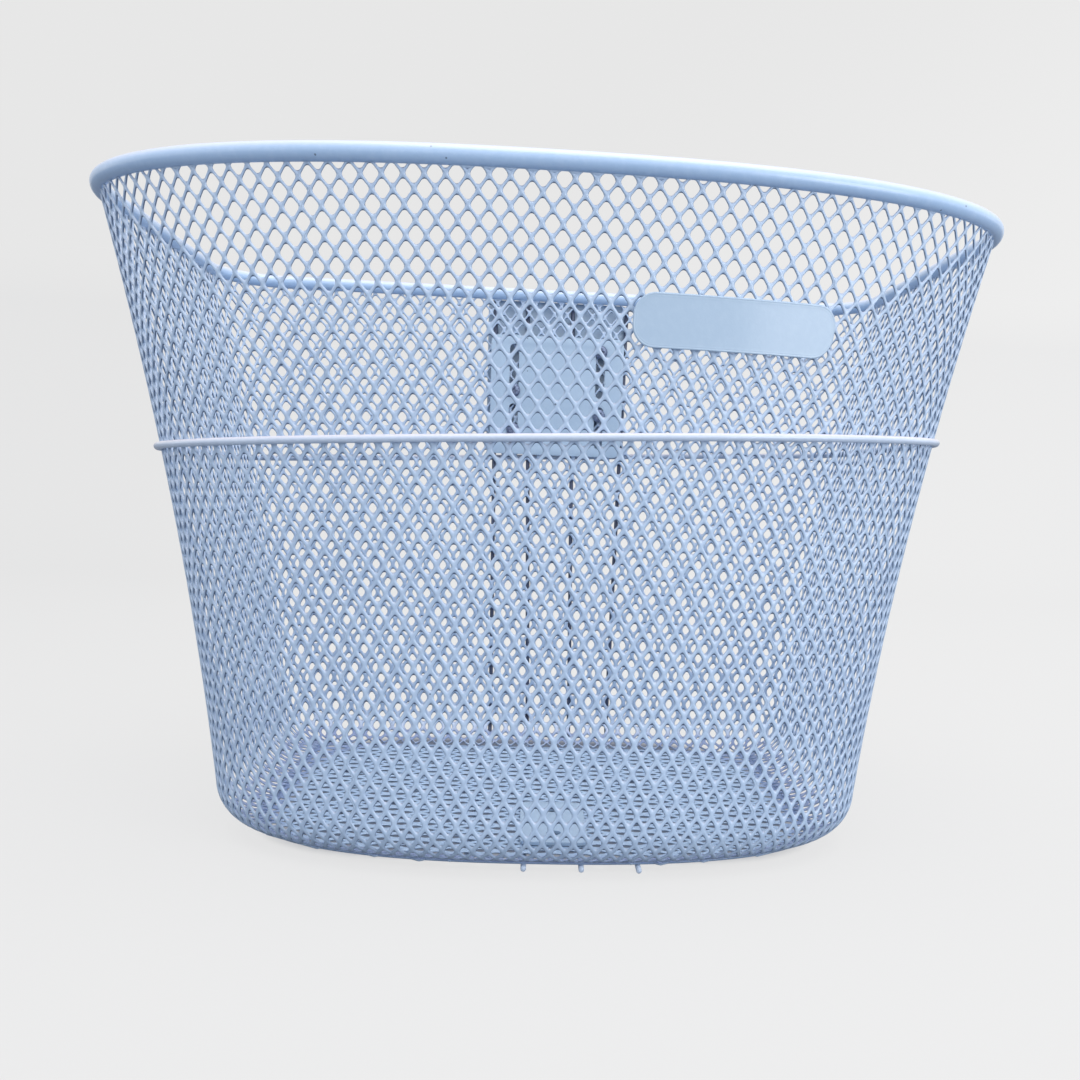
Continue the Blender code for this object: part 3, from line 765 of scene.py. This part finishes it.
# %% Build the floor
FLOOR_CELL_HALF_LONG = 0.0060
FLOOR_CELL_HALF_SHORT = 0.0043
FLOOR_OPENING_LONG = 0.0072
FLOOR_OPENING_SHORT = 0.0036
FLOOR_STRAND = 0.0026
FLOOR_INSET = 0.0006
EDGE_OVERHANG = 0.0013
EDGE_WIDTH = 0.0030

edge = round_wall(FOOT_DROP + TURN_LENGTH + FLOOR_INSET)
line = closed_line("floor_line", [(point.x, point.y, 0) for point in edge])
columns = round(2 * FOOT_HALF_WIDTH / (2 * FLOOR_CELL_HALF_LONG))
rows = round((RIM_BACK - RIM_FRONT) / FLOOR_CELL_HALF_SHORT)
net = made_by(NET_ON_FLOOR, "floor_net", columns=columns, rows=rows, first_column=-columns // 2,
              first_row=RIM_FRONT, half_width=FLOOR_CELL_HALF_LONG, half_height=FLOOR_CELL_HALF_SHORT,
              opening_width=FLOOR_OPENING_LONG, opening_height=FLOOR_OPENING_SHORT,
              strand=FLOOR_STRAND, thickness=STRAND_T, material=NET_PAINT, outline=line, height=FLOOR_Z)
bpy.data.objects.remove(line)
FLOOR = faced_out(net)

outer_drop = FOOT_DROP + TURN_LENGTH - EDGE_OVERHANG
low, high = FLOOR_Z - STRAND_T / 2, FLOOR_Z + STRAND_T / 2
sections = [[(far.x, far.y, low), (far.x, far.y, high), (near.x, near.y, high), (near.x, near.y, low)]
            for far, near in zip(round_wall(outer_drop), round_wall(outer_drop + EDGE_WIDTH))]
FLOOR_EDGE = sections_joined("floor_edge", sections, True)
print("faces in the floor and its edge:", len(FLOOR.data.polygons), len(FLOOR_EDGE.data.polygons))

# %% [markdown]
# ## Rim and wires
# The rim, the ring wire and the four upright wires are round bars along a line. The ring wire is a little
# lower on the right, and at the back it passes over the upright wires. These run down behind the wall and
# under the floor to its front edge, but the first one ends a little before it.

# %% Build the rim
RIM_ROLL_D = 0.0062
RIM_SIDES = 24
CUT_END_WIDTH = 0.72
CUT_END_DOME = 0.12


def bar(name, points, diameter, closed, sides):
    """A round bar along points; its ends are slightly domed where it's open."""
    count = len(points)
    sections = []
    side_way = None
    for here, point in enumerate(points):
        before = points[here - 1] if closed or here else point
        after = points[(here + 1) % count] if closed or here < count - 1 else point
        way = (after - before).normalized()
        across = way.cross(Vector((0, 0, 1))) if side_way is None else side_way - way * side_way.dot(way)
        if across.length < 0.1:
            across = Vector((1, 0, 0))
        side_way = across.normalized()
        up = side_way.cross(way)
        angles = [2 * math.pi * side / sides for side in range(sides)]
        sections.append([point + diameter / 2 * (side_way * math.cos(angle) + up * math.sin(angle))
                         for angle in angles])
    if not closed:
        for end, neighbour in ((0, 1), (-1, -2)):
            centre = points[end]
            way = (centre - points[neighbour]).normalized()
            cap = [centre + (place - centre) * CUT_END_WIDTH + way * diameter * CUT_END_DOME
                   for place in sections[end]]
            sections.insert(0 if end == 0 else len(sections), cap)
    return sections_joined(name, sections, closed)


RIM_POINTS = [Vector((point.co.x, point.co.y, RIM_HEIGHT)) for point in RIM_LINE.data.splines[0].points]
RIM = bar("rim", RIM_POINTS, RIM_ROLL_D, True, RIM_SIDES)
print("faces in the rim:", len(RIM.data.polygons))

# %% Build the wires
REAR_WIRE_TOPS = (-0.0285, -0.0112, 0.0134, 0.0430)
REAR_WIRE_FEET = (-0.0270, -0.0055, 0.0188, 0.0410)
REAR_WIRE_ENDS = (-0.0299, -0.0069, 0.0161, 0.0391)
REAR_WIRE_SIDES = 12
REAR_WIRE_BEND_STEPS = 16
HIDDEN_END = 0.011
RING_WIRE_D = 0.003
RING_WELD = 0.0003
RING_THIN_D = 0.0028
RING_SIDES = 16
RING_LOW, RING_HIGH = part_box("ring_wire")

slant = (RING_HIGH.z - RING_LOW.z - RING_WIRE_D) / (RING_HIGH.x - RING_LOW.x - RING_WIRE_D)
drop = RIM_HEIGHT - (RING_LOW.z + RING_HIGH.z) / 2
level = round_wall(drop)
out = STRAND_T / 2 + RING_THIN_D / 2 - RING_WELD
places = on_wall([(RIM_LENGTH * step / LOOP_STEPS, drop - slant * point.x, out)
                  for step, point in enumerate(level)])
for place, point in zip(places, level):
    back_share = max((point.y - WIDEST_Y) / (RIM_BACK - WIDEST_Y), 0) ** 2
    place.y += (REAR_WIRE_D + GAP) * back_share
RING = bar("ring", places, RING_THIN_D, True, RING_SIDES)

UPRIGHTS = []
radius = TURN_RADIUS + SHEET_T / 2 + GAP + REAR_WIRE_D / 2
ground = REAR_WIRE_D / 2
for number, (top, foot, end) in enumerate(zip(REAR_WIRE_TOPS, REAR_WIRE_FEET, REAR_WIRE_ENDS), 1):
    low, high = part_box(f"rear_wire_{number}")
    back = high.y - REAR_WIRE_D / 2
    points = [Vector((top, back, high.z))]
    for step in range(REAR_WIRE_BEND_STEPS + 1):
        angle = math.pi / 2 * step / REAR_WIRE_BEND_STEPS
        points.append(Vector((foot, back - radius * (1 - math.cos(angle)),
                              FOOT_Z - (FOOT_Z - ground) * math.sin(angle))))
    points.append(Vector((end, low.y + (HIDDEN_END if number == 1 else 0), ground)))
    UPRIGHTS.append(bar(f"upright_{number}", points, REAR_WIRE_D, False, REAR_WIRE_SIDES))
print("wires:", len([RING] + UPRIGHTS))

# %% [markdown]
# ## Plates, washers and nuts
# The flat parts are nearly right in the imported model, but their edges are too sharp. This helper copies a
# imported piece, joins its flat faces and rounds the edges. The top of the outer plate is then raised a
# little, so that it shows just under the rim.

# %% Soften the flat parts
EDGE_WIDTHS = {"inner_plate": 0.00045, "outer_plate": 0.0005, "floor_plate": 0.0004,
               "washer": 0.0002, "nut": 0.0003}
EDGE_STEPS = 3
WELD_DISTANCE = 0.00001
FLAT_ANGLE = math.radians(2)
SHARP_ANGLE = math.radians(40)
CREASE_ANGLE = math.radians(35)
PLATE_SHOULDER = 0.240
PLATE_RISE = 0.0009


def softened(node, width):
    """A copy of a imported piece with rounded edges."""
    shape = bmesh.new()
    shape.from_mesh(frame["nodes"][node].data)
    bmesh.ops.remove_doubles(shape, verts=shape.verts, dist=WELD_DISTANCE)
    bmesh.ops.dissolve_limit(shape, angle_limit=FLAT_ANGLE, verts=shape.verts, edges=shape.edges)
    edges = [edge for edge in shape.edges
             if len(edge.link_faces) == 2 and edge.calc_face_angle() > SHARP_ANGLE]
    bmesh.ops.bevel(shape, geom=edges, offset=width, segments=EDGE_STEPS, profile=0.5, affect="EDGES",
                    clamp_overlap=True)
    bmesh.ops.triangulate(shape, faces=[face for face in shape.faces if len(face.verts) > 4])
    bmesh.ops.recalc_face_normals(shape, faces=shape.faces)
    mesh = bpy.data.meshes.new(node + "_soft")
    shape.to_mesh(mesh)
    shape.free()
    mesh.shade_smooth()
    mesh.set_sharp_from_angle(angle=CREASE_ANGLE)
    obj = added(node + "_soft", mesh)
    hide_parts(node)
    return obj


PLATES = [softened(node, EDGE_WIDTHS[node]) for node in ("inner_plate", "outer_plate", "floor_plate")]
for corner in PLATES[1].data.vertices:
    if corner.co.z > PLATE_SHOULDER:
        corner.co.z += PLATE_RISE
HARDWARE = [softened(f"{kind}_{number}", EDGE_WIDTHS[kind])
            for number in range(1, 5) for kind in ("washer", "nut")]
print("faces in the inner plate:", len(PLATES[0].data.polygons))

# %% [markdown]
# ## Screws
# Each screw has a low round head with a cross pressed into it, and a few turns of thread. It is a row of
# rings from the middle of the head to the tip. Points inside the cross are pushed down.

# %% Build the screws
HEAD_D = 0.0070
HEAD_H = 0.0022
CROWN_RINGS = 14
CROWN_STEP = 0.00016
CROWN_FLATNESS = 0.55
SIDE_RINGS = 6
SIDE_START = 0.42
SIDE_HEIGHT = 0.82
HEAD_EDGE = 0.95
HEAD_NICK = 0.0001
TIP_ROOM = 0.0006
TIP_TAPER = (0.0005, 0.0004)
SHANK_D = 0.0040
SMALLEST_RADIUS = 0.0002
CROSS_REACH = 0.0021
CROSS_HALF_WIDTH = 0.00042
CROSS_DEPTH = 0.0011
CROSS_TURN = 45
CROSS_TURN_STEP = 23
THREAD_START = 0.0002
THREAD_PITCH = 0.0007
THREAD_DEPTH = 0.0003
THREAD_SHARES = ((0, 0), (0.3, 0), (0.65, 1))
SCREW_SIDES = 48
SCREW_CREASE = math.radians(45)


def screw_profile(length):
    """Radius and distance from the top of the head, ring by ring."""
    rings = []
    for step in range(CROWN_RINGS):
        radius = SMALLEST_RADIUS + CROWN_STEP * step
        fall = 1 - math.sqrt(1 - (radius / (HEAD_D / 2)) ** 2)
        rings.append((radius, HEAD_H * fall * CROWN_FLATNESS))
    for step in range(SIDE_RINGS + 1):
        angle = math.pi / 2 * (SIDE_START + (1 - SIDE_START) * step / SIDE_RINGS)
        rings.append((HEAD_D / 2 * math.sin(angle), HEAD_H * SIDE_HEIGHT * (1 - math.cos(angle))))
    rings += [(HEAD_D / 2, HEAD_H * HEAD_EDGE), (HEAD_D / 2 - HEAD_NICK, HEAD_H), (SHANK_D / 2, HEAD_H)]
    turns = int((length - HEAD_H - TIP_ROOM) / THREAD_PITCH)
    for turn in range(turns):
        start = HEAD_H + THREAD_START + turn * THREAD_PITCH
        rings += [(SHANK_D / 2 - THREAD_DEPTH * deep, start + along * THREAD_PITCH)
                  for along, deep in THREAD_SHARES]
    return rings + [(SHANK_D / 2 - HEAD_NICK, length - TIP_TAPER[1]),
                    (SHANK_D / 2 - TIP_TAPER[0], length), (SMALLEST_RADIUS, length)]


def screw(number):
    """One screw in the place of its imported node; each is turned a little differently."""
    low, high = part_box(f"screw_{number}")
    centre_x, centre_z = (low.x + high.x) / 2, (low.z + high.z) / 2
    turn = math.radians(CROSS_TURN + CROSS_TURN_STEP * number)
    sections = []
    for radius, down in screw_profile(high.y - low.y):
        section = []
        for side in range(SCREW_SIDES):
            angle = 2 * math.pi * side / SCREW_SIDES
            across, up = radius * math.cos(angle), radius * math.sin(angle)
            arm, reach = sorted((abs(across), abs(up)))
            inside = down < HEAD_H / 2 and arm < CROSS_HALF_WIDTH and reach < CROSS_REACH
            sunk = CROSS_DEPTH * (1 - (reach / CROSS_REACH) ** 2) if inside else 0
            section.append((centre_x + across * math.cos(turn) - up * math.sin(turn), low.y + down + sunk,
                            centre_z + across * math.sin(turn) + up * math.cos(turn)))
        sections.append(section)
    obj = sections_joined(f"screw_shape_{number}", sections, False)
    obj.data.set_sharp_from_angle(angle=SCREW_CREASE)
    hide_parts(f"screw_{number}")
    return obj


SCREWS = [screw(number) for number in range(1, 5)]
print("faces in a screw:", len(SCREWS[0].data.polygons))

# %% [markdown]
# ## The blank name plate
# A small plate with round ends sits on the front wall, with a lip so low that it only catches a little
# light. It is built flat, from loops along its outline, and wrapped like the net. The wall is shorter
# round than the rim, so real lengths are first turned into lengths along the rim.

# %% Draw the name plate
NAME_PLATE_X = 0.0598
NAME_PLATE_DROP = 0.0460
NAME_PLATE_LENGTH = 0.0715
NAME_PLATE_WIDTH = 0.0175
NAME_PLATE_T = 0.0012
NAME_PLATE_CORNER = 0.0074
PLATE_LONG_STEPS = 40
PLATE_CORNER_STEPS = 12
FRONT_START = 0.30
FRONT_SHARE = 0.40
FRONT_MARKS = 800


def plate_loop(inset, out):
    """Points of the plate's outline, moved in by the inset, at a height off its middle."""
    half_length, half_width = NAME_PLATE_LENGTH / 2 - inset, NAME_PLATE_WIDTH / 2 - inset
    radius = NAME_PLATE_CORNER - inset
    straight = half_length - radius
    points = [(-straight + 2 * straight * step / PLATE_LONG_STEPS, half_width)
              for step in range(PLATE_LONG_STEPS + 1)]
    for step in range(1, PLATE_CORNER_STEPS + 1):
        angle = math.pi / 2 * (1 - step / PLATE_CORNER_STEPS)
        points.append((half_length - radius + radius * math.cos(angle),
                       half_width - radius + radius * math.sin(angle)))
    corner = points[PLATE_LONG_STEPS + 1:]
    points = [(-across, up) for across, up in reversed(corner)] + points
    below = [(across, -up) for across, up in reversed(points)]
    return [(across, up, out) for across, up in points + below]


def rim_lengths(distances):
    """The rim lengths that belong to real distances from the plate's middle."""
    lengths = [RIM_LENGTH * (FRONT_START + FRONT_SHARE * step / FRONT_MARKS)
               for step in range(FRONT_MARKS + 1)]
    front = on_wall([(length, NAME_PLATE_DROP, 0) for length in lengths])
    middle = min(range(len(front)), key=lambda here: abs(front[here].x - NAME_PLATE_X))
    reach = walked(front)
    return numpy.interp([reach[middle] + distance for distance in distances], reach, lengths).tolist()


print("points in a loop:", len(plate_loop(0, 0)))

# %% Build the name plate
PLATE_ROUND = 0.0003
PLATE_NICK = 0.0001
PLATE_CREASE = math.radians(50)
LIP_H = 0.0001
LIP_WIDTH = 0.0009
LIP_STEP = 0.6
LIP_FOOT = 0.0008

thin, top = NAME_PLATE_T / 2, NAME_PLATE_T / 2 + LIP_H
profile = [(PLATE_ROUND, -thin), (PLATE_NICK, -thin + PLATE_NICK), (0, -thin + PLATE_ROUND),
           (0, top - PLATE_ROUND), (PLATE_NICK, top - PLATE_NICK), (PLATE_ROUND, top),
           (LIP_WIDTH - PLATE_ROUND, top), (LIP_WIDTH - PLATE_NICK, top - PLATE_NICK),
           (LIP_WIDTH, top - LIP_H * LIP_STEP), (LIP_WIDTH + PLATE_ROUND, thin), (LIP_WIDTH + LIP_FOOT, thin)]
loops = [plate_loop(inset, height) for inset, height in profile]
flat = [place for loop in loops for place in loop]
out = SHEET_T / 2 + GAP + NAME_PLATE_T / 2
places = on_wall([(length, NAME_PLATE_DROP - up, out + height) for length, (_, up, height)
                  in zip(rim_lengths([across for across, _, _ in flat]), flat)])
sides = len(loops[0])
faces = skin_faces(len(loops), sides, False)
for ring in (0, len(loops) - 1):
    for side in range(sides // 2 - 1):
        first, second = ring * sides + side, ring * sides + sides - 1 - side
        faces.append((first, first + 1, second - 1, second))
obj = faced_out(smooth_mesh("name_plate_soft", places, faces))
obj.data.set_sharp_from_angle(angle=PLATE_CREASE)
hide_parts("name_plate")
PLATES.append(obj)
print("faces in the name plate:", len(PLATES[-1].data.polygons))

# %% [markdown]
# ## Paint, coat and metal
# A finish is built from noise, from colours that turn into each other and from a fine relief. These
# helpers keep each of those to one line.

# %% Helpers for the finishes
def shader(material):
    """A material's new nodes: its graph, its shader and the place on the object."""
    material.use_nodes = True
    tree = material.node_tree
    tree.nodes.clear()
    graph = Graph(tree)
    surface = tree.nodes.new("ShaderNodeBsdfPrincipled")
    end = tree.nodes.new("ShaderNodeOutputMaterial")
    tree.links.new(surface.outputs[0], end.inputs["Surface"])
    return graph, surface, graph.node("ShaderNodeTexCoord", None, "Object")


def noise(place, scale, detail=2, roughness=0.5):
    """Soft noise from 0 to 1."""
    return place.graph.node("ShaderNodeTexNoise", {"Vector": place, "Scale": scale, "Detail": detail,
                                                   "Roughness": roughness}, "Fac")


def ramped(value, low, high):
    """A value carried from low..high to 0..1 and kept there."""
    return value.graph.node("ShaderNodeMapRange", {"Value": value, "From Min": low, "From Max": high},
                            interpolation_type="SMOOTHSTEP")


def mixed(share, first, second):
    """One colour turning into another."""
    colours = [colour if isinstance(colour, Wire) else (*colour, 1) for colour in (first, second)]
    return share.graph.node("ShaderNodeMix", {0: share, 6: colours[0], 7: colours[1]}, 2,
                            data_type="RGBA")


def link(wire, node, name):
    """Feed a shader socket."""
    wire.graph.tree.links.new(wire.socket, node.inputs[name])


def relief(surface, height, strength, distance):
    """Give a shader a skin with fine heights."""
    link(height.graph.node("ShaderNodeBump", {"Strength": strength, "Distance": distance,
                                              "Height": height}), surface, "Normal")


def off_centre(place, middle, half_width, half_depth):
    """0 at a middle on the ground, 1 along a rounded box round it."""
    across, along, _ = place.split()
    beside, before = across / half_width, (along - middle) / half_depth
    return beside * beside * beside * beside + before * before * before * before


print("helpers for the finishes ready")

# %% [markdown]
# ## The finishes
# Powder paint is thick and soft. Its colour shifts a little, its skin is dimpled like orange peel, and
# here and there it has a tiny dark pit. A painted top light makes what faces up paler, painted shade
# makes the upper edges of the openings dark blue, and painted shade darkens the corner between floor
# and foot. The upright wires are dark blue, partly painted shade, scuffed lighter in places and pale
# close to the ground, and the screws are dull zinc.

# %% Make the paints
PIT_COLOUR = (0.05, 0.07, 0.13)
PAINTED_TOP_LIGHT_COLOUR = (0.68, 0.67, 0.76)
OPENING_SHADE_COLOUR = (0.05, 0.08, 0.17)
CORNER_SHADE_COLOUR = (0.16, 0.22, 0.42)
FLOOR_MIDDLE = 0.0106
FLOOR_HALF_WIDTH = 0.1215
FLOOR_HALF_DEPTH = 0.1032
CORNER_SHADE_LOW = 0.0080
CORNER_SHADE_HIGH = 0.0130
# Each row: colour, deeper colour, paler colour, dimple, roughness and share of painted top light. The rim and
# ring rows are lighter and carry more painted top light.
PAINTS = {"net": ((0.38, 0.50, 0.68), (0.33, 0.44, 0.62), (0.45, 0.56, 0.72), 0.35, 0.28, 0.30),
          "rim": ((0.36, 0.51, 0.74), (0.32, 0.47, 0.70), (0.43, 0.57, 0.78), 0.30, 0.26, 0.60),
          "ring": ((0.47, 0.56, 0.71), (0.42, 0.51, 0.67), (0.53, 0.61, 0.74), 0.30, 0.26, 1.0),
          "floor": ((0.36, 0.49, 0.67), (0.31, 0.43, 0.61), (0.43, 0.55, 0.71), 0.35, 0.28, 0.0),
          # the painted_shade row is a darker copy of the paint: painted shade for the floor's edge under the
          # turned foot
          "painted_shade": ((0.24, 0.34, 0.52), (0.20, 0.30, 0.47), (0.30, 0.41, 0.58), 0.35, 0.30, 0.0),
          "plate": ((0.36, 0.48, 0.63), (0.33, 0.45, 0.60), (0.40, 0.52, 0.66), 0.22, 0.30, 0.0)}


def powder_paint(material, colour, deep, pale, dimple, roughness, painted_top_light):
    """Powder paint: a colour with a deeper and a paler one; a painted top light pales what faces up, and
    painted shade darkens opening edges and the floor's corner.
    """
    graph, surface, place = shader(material)
    broad = ramped(noise(place, 28), 0.35, 0.7)
    fine = ramped(noise(place, 420), 0.4, 0.75)
    tone = mixed(broad * 0.5, colour, deep)
    tone = mixed(fine * 0.35, tone, pale)
    spots = graph.node("ShaderNodeTexVoronoi", {"Vector": place, "Scale": 190})
    chance, _, _ = spots.of("Color").split()
    pit = (1 - ramped(spots.of("Distance"), 0.05, 0.085)) * chance.greater_than(0.86)
    tone = mixed(pit * 0.75, tone, PIT_COLOUR)
    _, _, upward = graph.node("ShaderNodeTexCoord", None, "Normal").split()
    # painted top light: what faces up is mixed towards a pale lavender
    tone = mixed(ramped(upward, 0.0, 0.95) * painted_top_light, tone, PAINTED_TOP_LIGHT_COLOUR)
    # painted shade: the openings' edges are darkened, most where they face down
    edge = graph.node("ShaderNodeAttribute", None, "Fac", attribute_name="opening_edge")
    painted_edge_shade = 0.15 + 0.70 * ramped(0 - upward, 0.10, 0.55)
    tone = mixed(ramped(edge, 0.70, 0.95) * painted_edge_shade, tone, OPENING_SHADE_COLOUR)
    # painted shade: what faces up low down near the floor's outline, in the corner between floor and turned
    # foot, is darkened
    _, _, height = place.split()
    outer = off_centre(place, FLOOR_MIDDLE, FLOOR_HALF_WIDTH, FLOOR_HALF_DEPTH)
    corner = ramped(outer, 0.66, 0.92) * (1 - ramped(height, CORNER_SHADE_LOW, CORNER_SHADE_HIGH))
    corner = corner * ramped(upward, 0.0, 0.4)
    tone = mixed(corner * 0.75, tone, CORNER_SHADE_COLOUR)
    link(tone, surface, "Base Color")
    link(roughness + 0.12 * noise(place, 90), surface, "Roughness")
    skin = noise(place, 900, 1) + 0.35 * noise(place, 2600, 1) - 1.5 * pit
    relief(surface, skin, dimple, 0.00012)
    surface.inputs["Coat Weight"].default_value = 0.35
    surface.inputs["Coat Roughness"].default_value = 0.16
    return material


PAINT = {name: NET_PAINT if name == "net" else bpy.data.materials.new(name + "_finish") for name in PAINTS}
for name, recipe in PAINTS.items():
    powder_paint(PAINT[name], *recipe)
print("paints:", ", ".join(PAINT))

# %% Make the wire paint with painted shade, and the zinc
WIRE_PAINT_AND_SHADE = bpy.data.materials.new("dark_wire_and_painted_shade")
graph, surface, place = shader(WIRE_PAINT_AND_SHADE)
scuff = ramped(noise(place, 260, 4, 0.65), 0.58, 0.72)
# dark blue tone: partly the wires' own colour, partly painted shade for where they lie behind the wall
tone = mixed(ramped(noise(place, 60), 0.3, 0.7), (0.030, 0.042, 0.085), (0.055, 0.075, 0.14))
tone = mixed(scuff * 0.45, tone, (0.20, 0.25, 0.36))
_, _, up = place.split()
# under the floor the wires are pale, partly a painted light that lifts the shade under the basket
tone = mixed(1 - ramped(up, 0.003, 0.010), tone, (0.50, 0.60, 0.76))
link(tone, surface, "Base Color")
link(0.34 + 0.2 * scuff, surface, "Roughness")
relief(surface, noise(place, 1400), 0.2, 0.0001)

SCREW_ZINC = bpy.data.materials.new("dull_zinc")
graph, surface, place = shader(SCREW_ZINC)
cloud = ramped(noise(place, 700, 3, 0.6), 0.35, 0.7)
link(mixed(cloud, (0.11, 0.14, 0.23), (0.23, 0.28, 0.41)), surface, "Base Color")
link(0.36 + 0.22 * cloud, surface, "Roughness")
surface.inputs["Metallic"].default_value = 0.55
relief(surface, noise(place, 2400), 0.15, 0.0001)
print("finishes:", ", ".join(material.name for material in bpy.data.materials if material.use_nodes))

# %% [markdown]
# ## Put the pieces on the model
# Every fine piece takes the place of its packed one, rides on the basket and gets its finish. The guide
# curves have done their work and go.

# %% Finish the pieces
for guide in (RIM_LINE, FOOT_LINE):
    bpy.data.objects.remove(guide)
STAND_INS = {"wall_mesh": WALL + [HEM], "floor_mesh": [FLOOR, FLOOR_EDGE], "rim_tube": [RIM],
             "ring_wire": [RING]}
for number, upright in enumerate(UPRIGHTS, 1):
    STAND_INS[f"rear_wire_{number}"] = [upright]
for node, pieces in STAND_INS.items():
    for piece in pieces:
        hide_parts(node)
FINISHES = (("net_paint", PAINT["net"], WALL + [HEM]), ("net_paint", PAINT["floor"], [FLOOR]),
            ("net_paint", PAINT["painted_shade"], [FLOOR_EDGE]), ("net_paint", PAINT["rim"], [RIM]),
            ("net_paint", PAINT["ring"], [RING]), ("plate_paint", PAINT["plate"], PLATES),
            ("wire_coat", WIRE_PAINT_AND_SHADE, UPRIGHTS), ("screw_zinc", SCREW_ZINC, SCREWS + HARDWARE))
for slot_name, material, pieces in FINISHES:
    for piece in pieces:
        piece.data.materials.clear()
        piece.data.materials.append(material)
        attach(piece, BODY)
print("pieces:", sum(len(pieces) for _, _, pieces in FINISHES))

# %% [markdown]
# ## Floor, backdrop and light
# The basket stands on a pale floor that curves up into the backdrop. A large soft lamp hangs above, a
# smaller one stands low at the front right, and the rest of the light comes from the pale room. To the
# camera the floor is lightened, which leaves a faint shadow. It throws back only a little bluish light,
# and a dark shade is painted on it under the basket and close behind, so that the gaps in the basket's
# floor look deep.

# %% Build the stage
STAGE_FRONT = -3.0
STAGE_CURVE = 1.2
STAGE_RADIUS = 0.8
STAGE_TOP = 4.0
STAGE_HALF_WIDTH = 4
STAGE_STEPS = 12
STAGE_GLOW = 0.85
SHADE_MIDDLE = 0.030
SHADE_HALF_WIDTH = 0.124
SHADE_HALF_DEPTH = 0.112
SHADE_COLOUR = (0.10, 0.125, 0.19)

material = bpy.data.materials.new("backdrop")
graph, surface, place = shader(material)
seen = graph.node("ShaderNodeLightPath", None, "Is Camera Ray")
pale = mixed(noise(place, 1.5), (0.60, 0.60, 0.61), (0.62, 0.62, 0.62))
link(mixed(seen, (0.20, 0.22, 0.25), pale), surface, "Base Color")
surface.inputs["Roughness"].default_value = 0.9
surface.inputs["Specular IOR Level"].default_value = 0.1
across, _, up = place.split()
brighter = ramped(across - up, -0.9, 0.9)
glow_colour = mixed(brighter, (0.80, 0.80, 0.80), (0.86, 0.86, 0.86))
outer = off_centre(place, SHADE_MIDDLE, SHADE_HALF_WIDTH, SHADE_HALF_DEPTH)
glow_colour = mixed(ramped(outer, 0.6, 1.2), SHADE_COLOUR, glow_colour)
glow = graph.node("ShaderNodeEmission", {"Color": glow_colour, "Strength": 1.0})
share = (seen * STAGE_GLOW).maximum(ramped(up, 0.15, 0.6))
painted = Wire(graph, surface, surface.outputs[0])
shown = graph.node("ShaderNodeMixShader", {0: share, 1: painted, 2: glow})
ending = next(node for node in graph.tree.nodes if node.type == "OUTPUT_MATERIAL")
link(shown, ending, "Surface")
profile = [(STAGE_FRONT, 0.0), (STAGE_CURVE, 0.0)]
for step in range(1, STAGE_STEPS + 1):
    angle = math.pi / 2 * step / STAGE_STEPS
    profile.append((STAGE_CURVE + STAGE_RADIUS * math.sin(angle), STAGE_RADIUS * (1 - math.cos(angle))))
profile.append((STAGE_CURVE + STAGE_RADIUS, STAGE_TOP))
sides = (-STAGE_HALF_WIDTH, STAGE_HALF_WIDTH)
points = [(across, along, up) for across in sides for along, up in profile]
count = len(profile)
faces = [(step, step + count, step + count + 1, step + 1) for step in range(count - 1)]
obj = smooth_mesh("backdrop", points, faces)
obj.data.materials.append(material)
obj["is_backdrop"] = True
print("faces in the stage:", len(faces))

# %% Set the lights
ROOM_LIGHT = 1.32
ROOM_SHADE = 0.30
ROOM_COLOUR = (0.98, 0.985, 1.0, 1)
KEY_LAMP = {"place": (0.10, -0.35, 1.4), "target": (0, 0, 0.1), "size": 1.0, "power": 7}
FILL_LAMP = {"place": (0.90, -0.95, 0.35), "target": (0, 0, 0.14), "size": 0.7, "power": 6}


def soft_lamp(name, place, target, size, power):
    """A square area lamp that looks at a target."""
    data = bpy.data.lights.new(name, "AREA")
    data.shape = "SQUARE"
    data.size = size
    data.energy = power
    lamp = added(name, data)
    lamp.location = place
    lamp.rotation_euler = (Vector(target) - Vector(place)).to_track_quat("-Z", "Y").to_euler()
    return lamp


world = bpy.data.worlds.new("room")
world.use_nodes = True
graph = Graph(world.node_tree)
_, _, up = graph.node("ShaderNodeTexCoord", None, "Generated").split()
strength = ROOM_SHADE + (ROOM_LIGHT - ROOM_SHADE) * ramped(up, -0.40, 0.05)
background = world.node_tree.nodes["Background"]
background.inputs["Color"].default_value = ROOM_COLOUR
link(strength, background, "Strength")
bpy.context.scene.world = world
soft_lamp("key", **KEY_LAMP)
soft_lamp("fill", **FILL_LAMP)
bpy.context.scene.view_settings.view_transform = "Standard"

# %% [markdown]
# ## Measure and finish
# The last step prints the box of the dressed basket.

# %% Write the sizes
low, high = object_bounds()
print("dressed box mm:", [[round(1000 * value, 1) for value in corner] for corner in (low, high)])
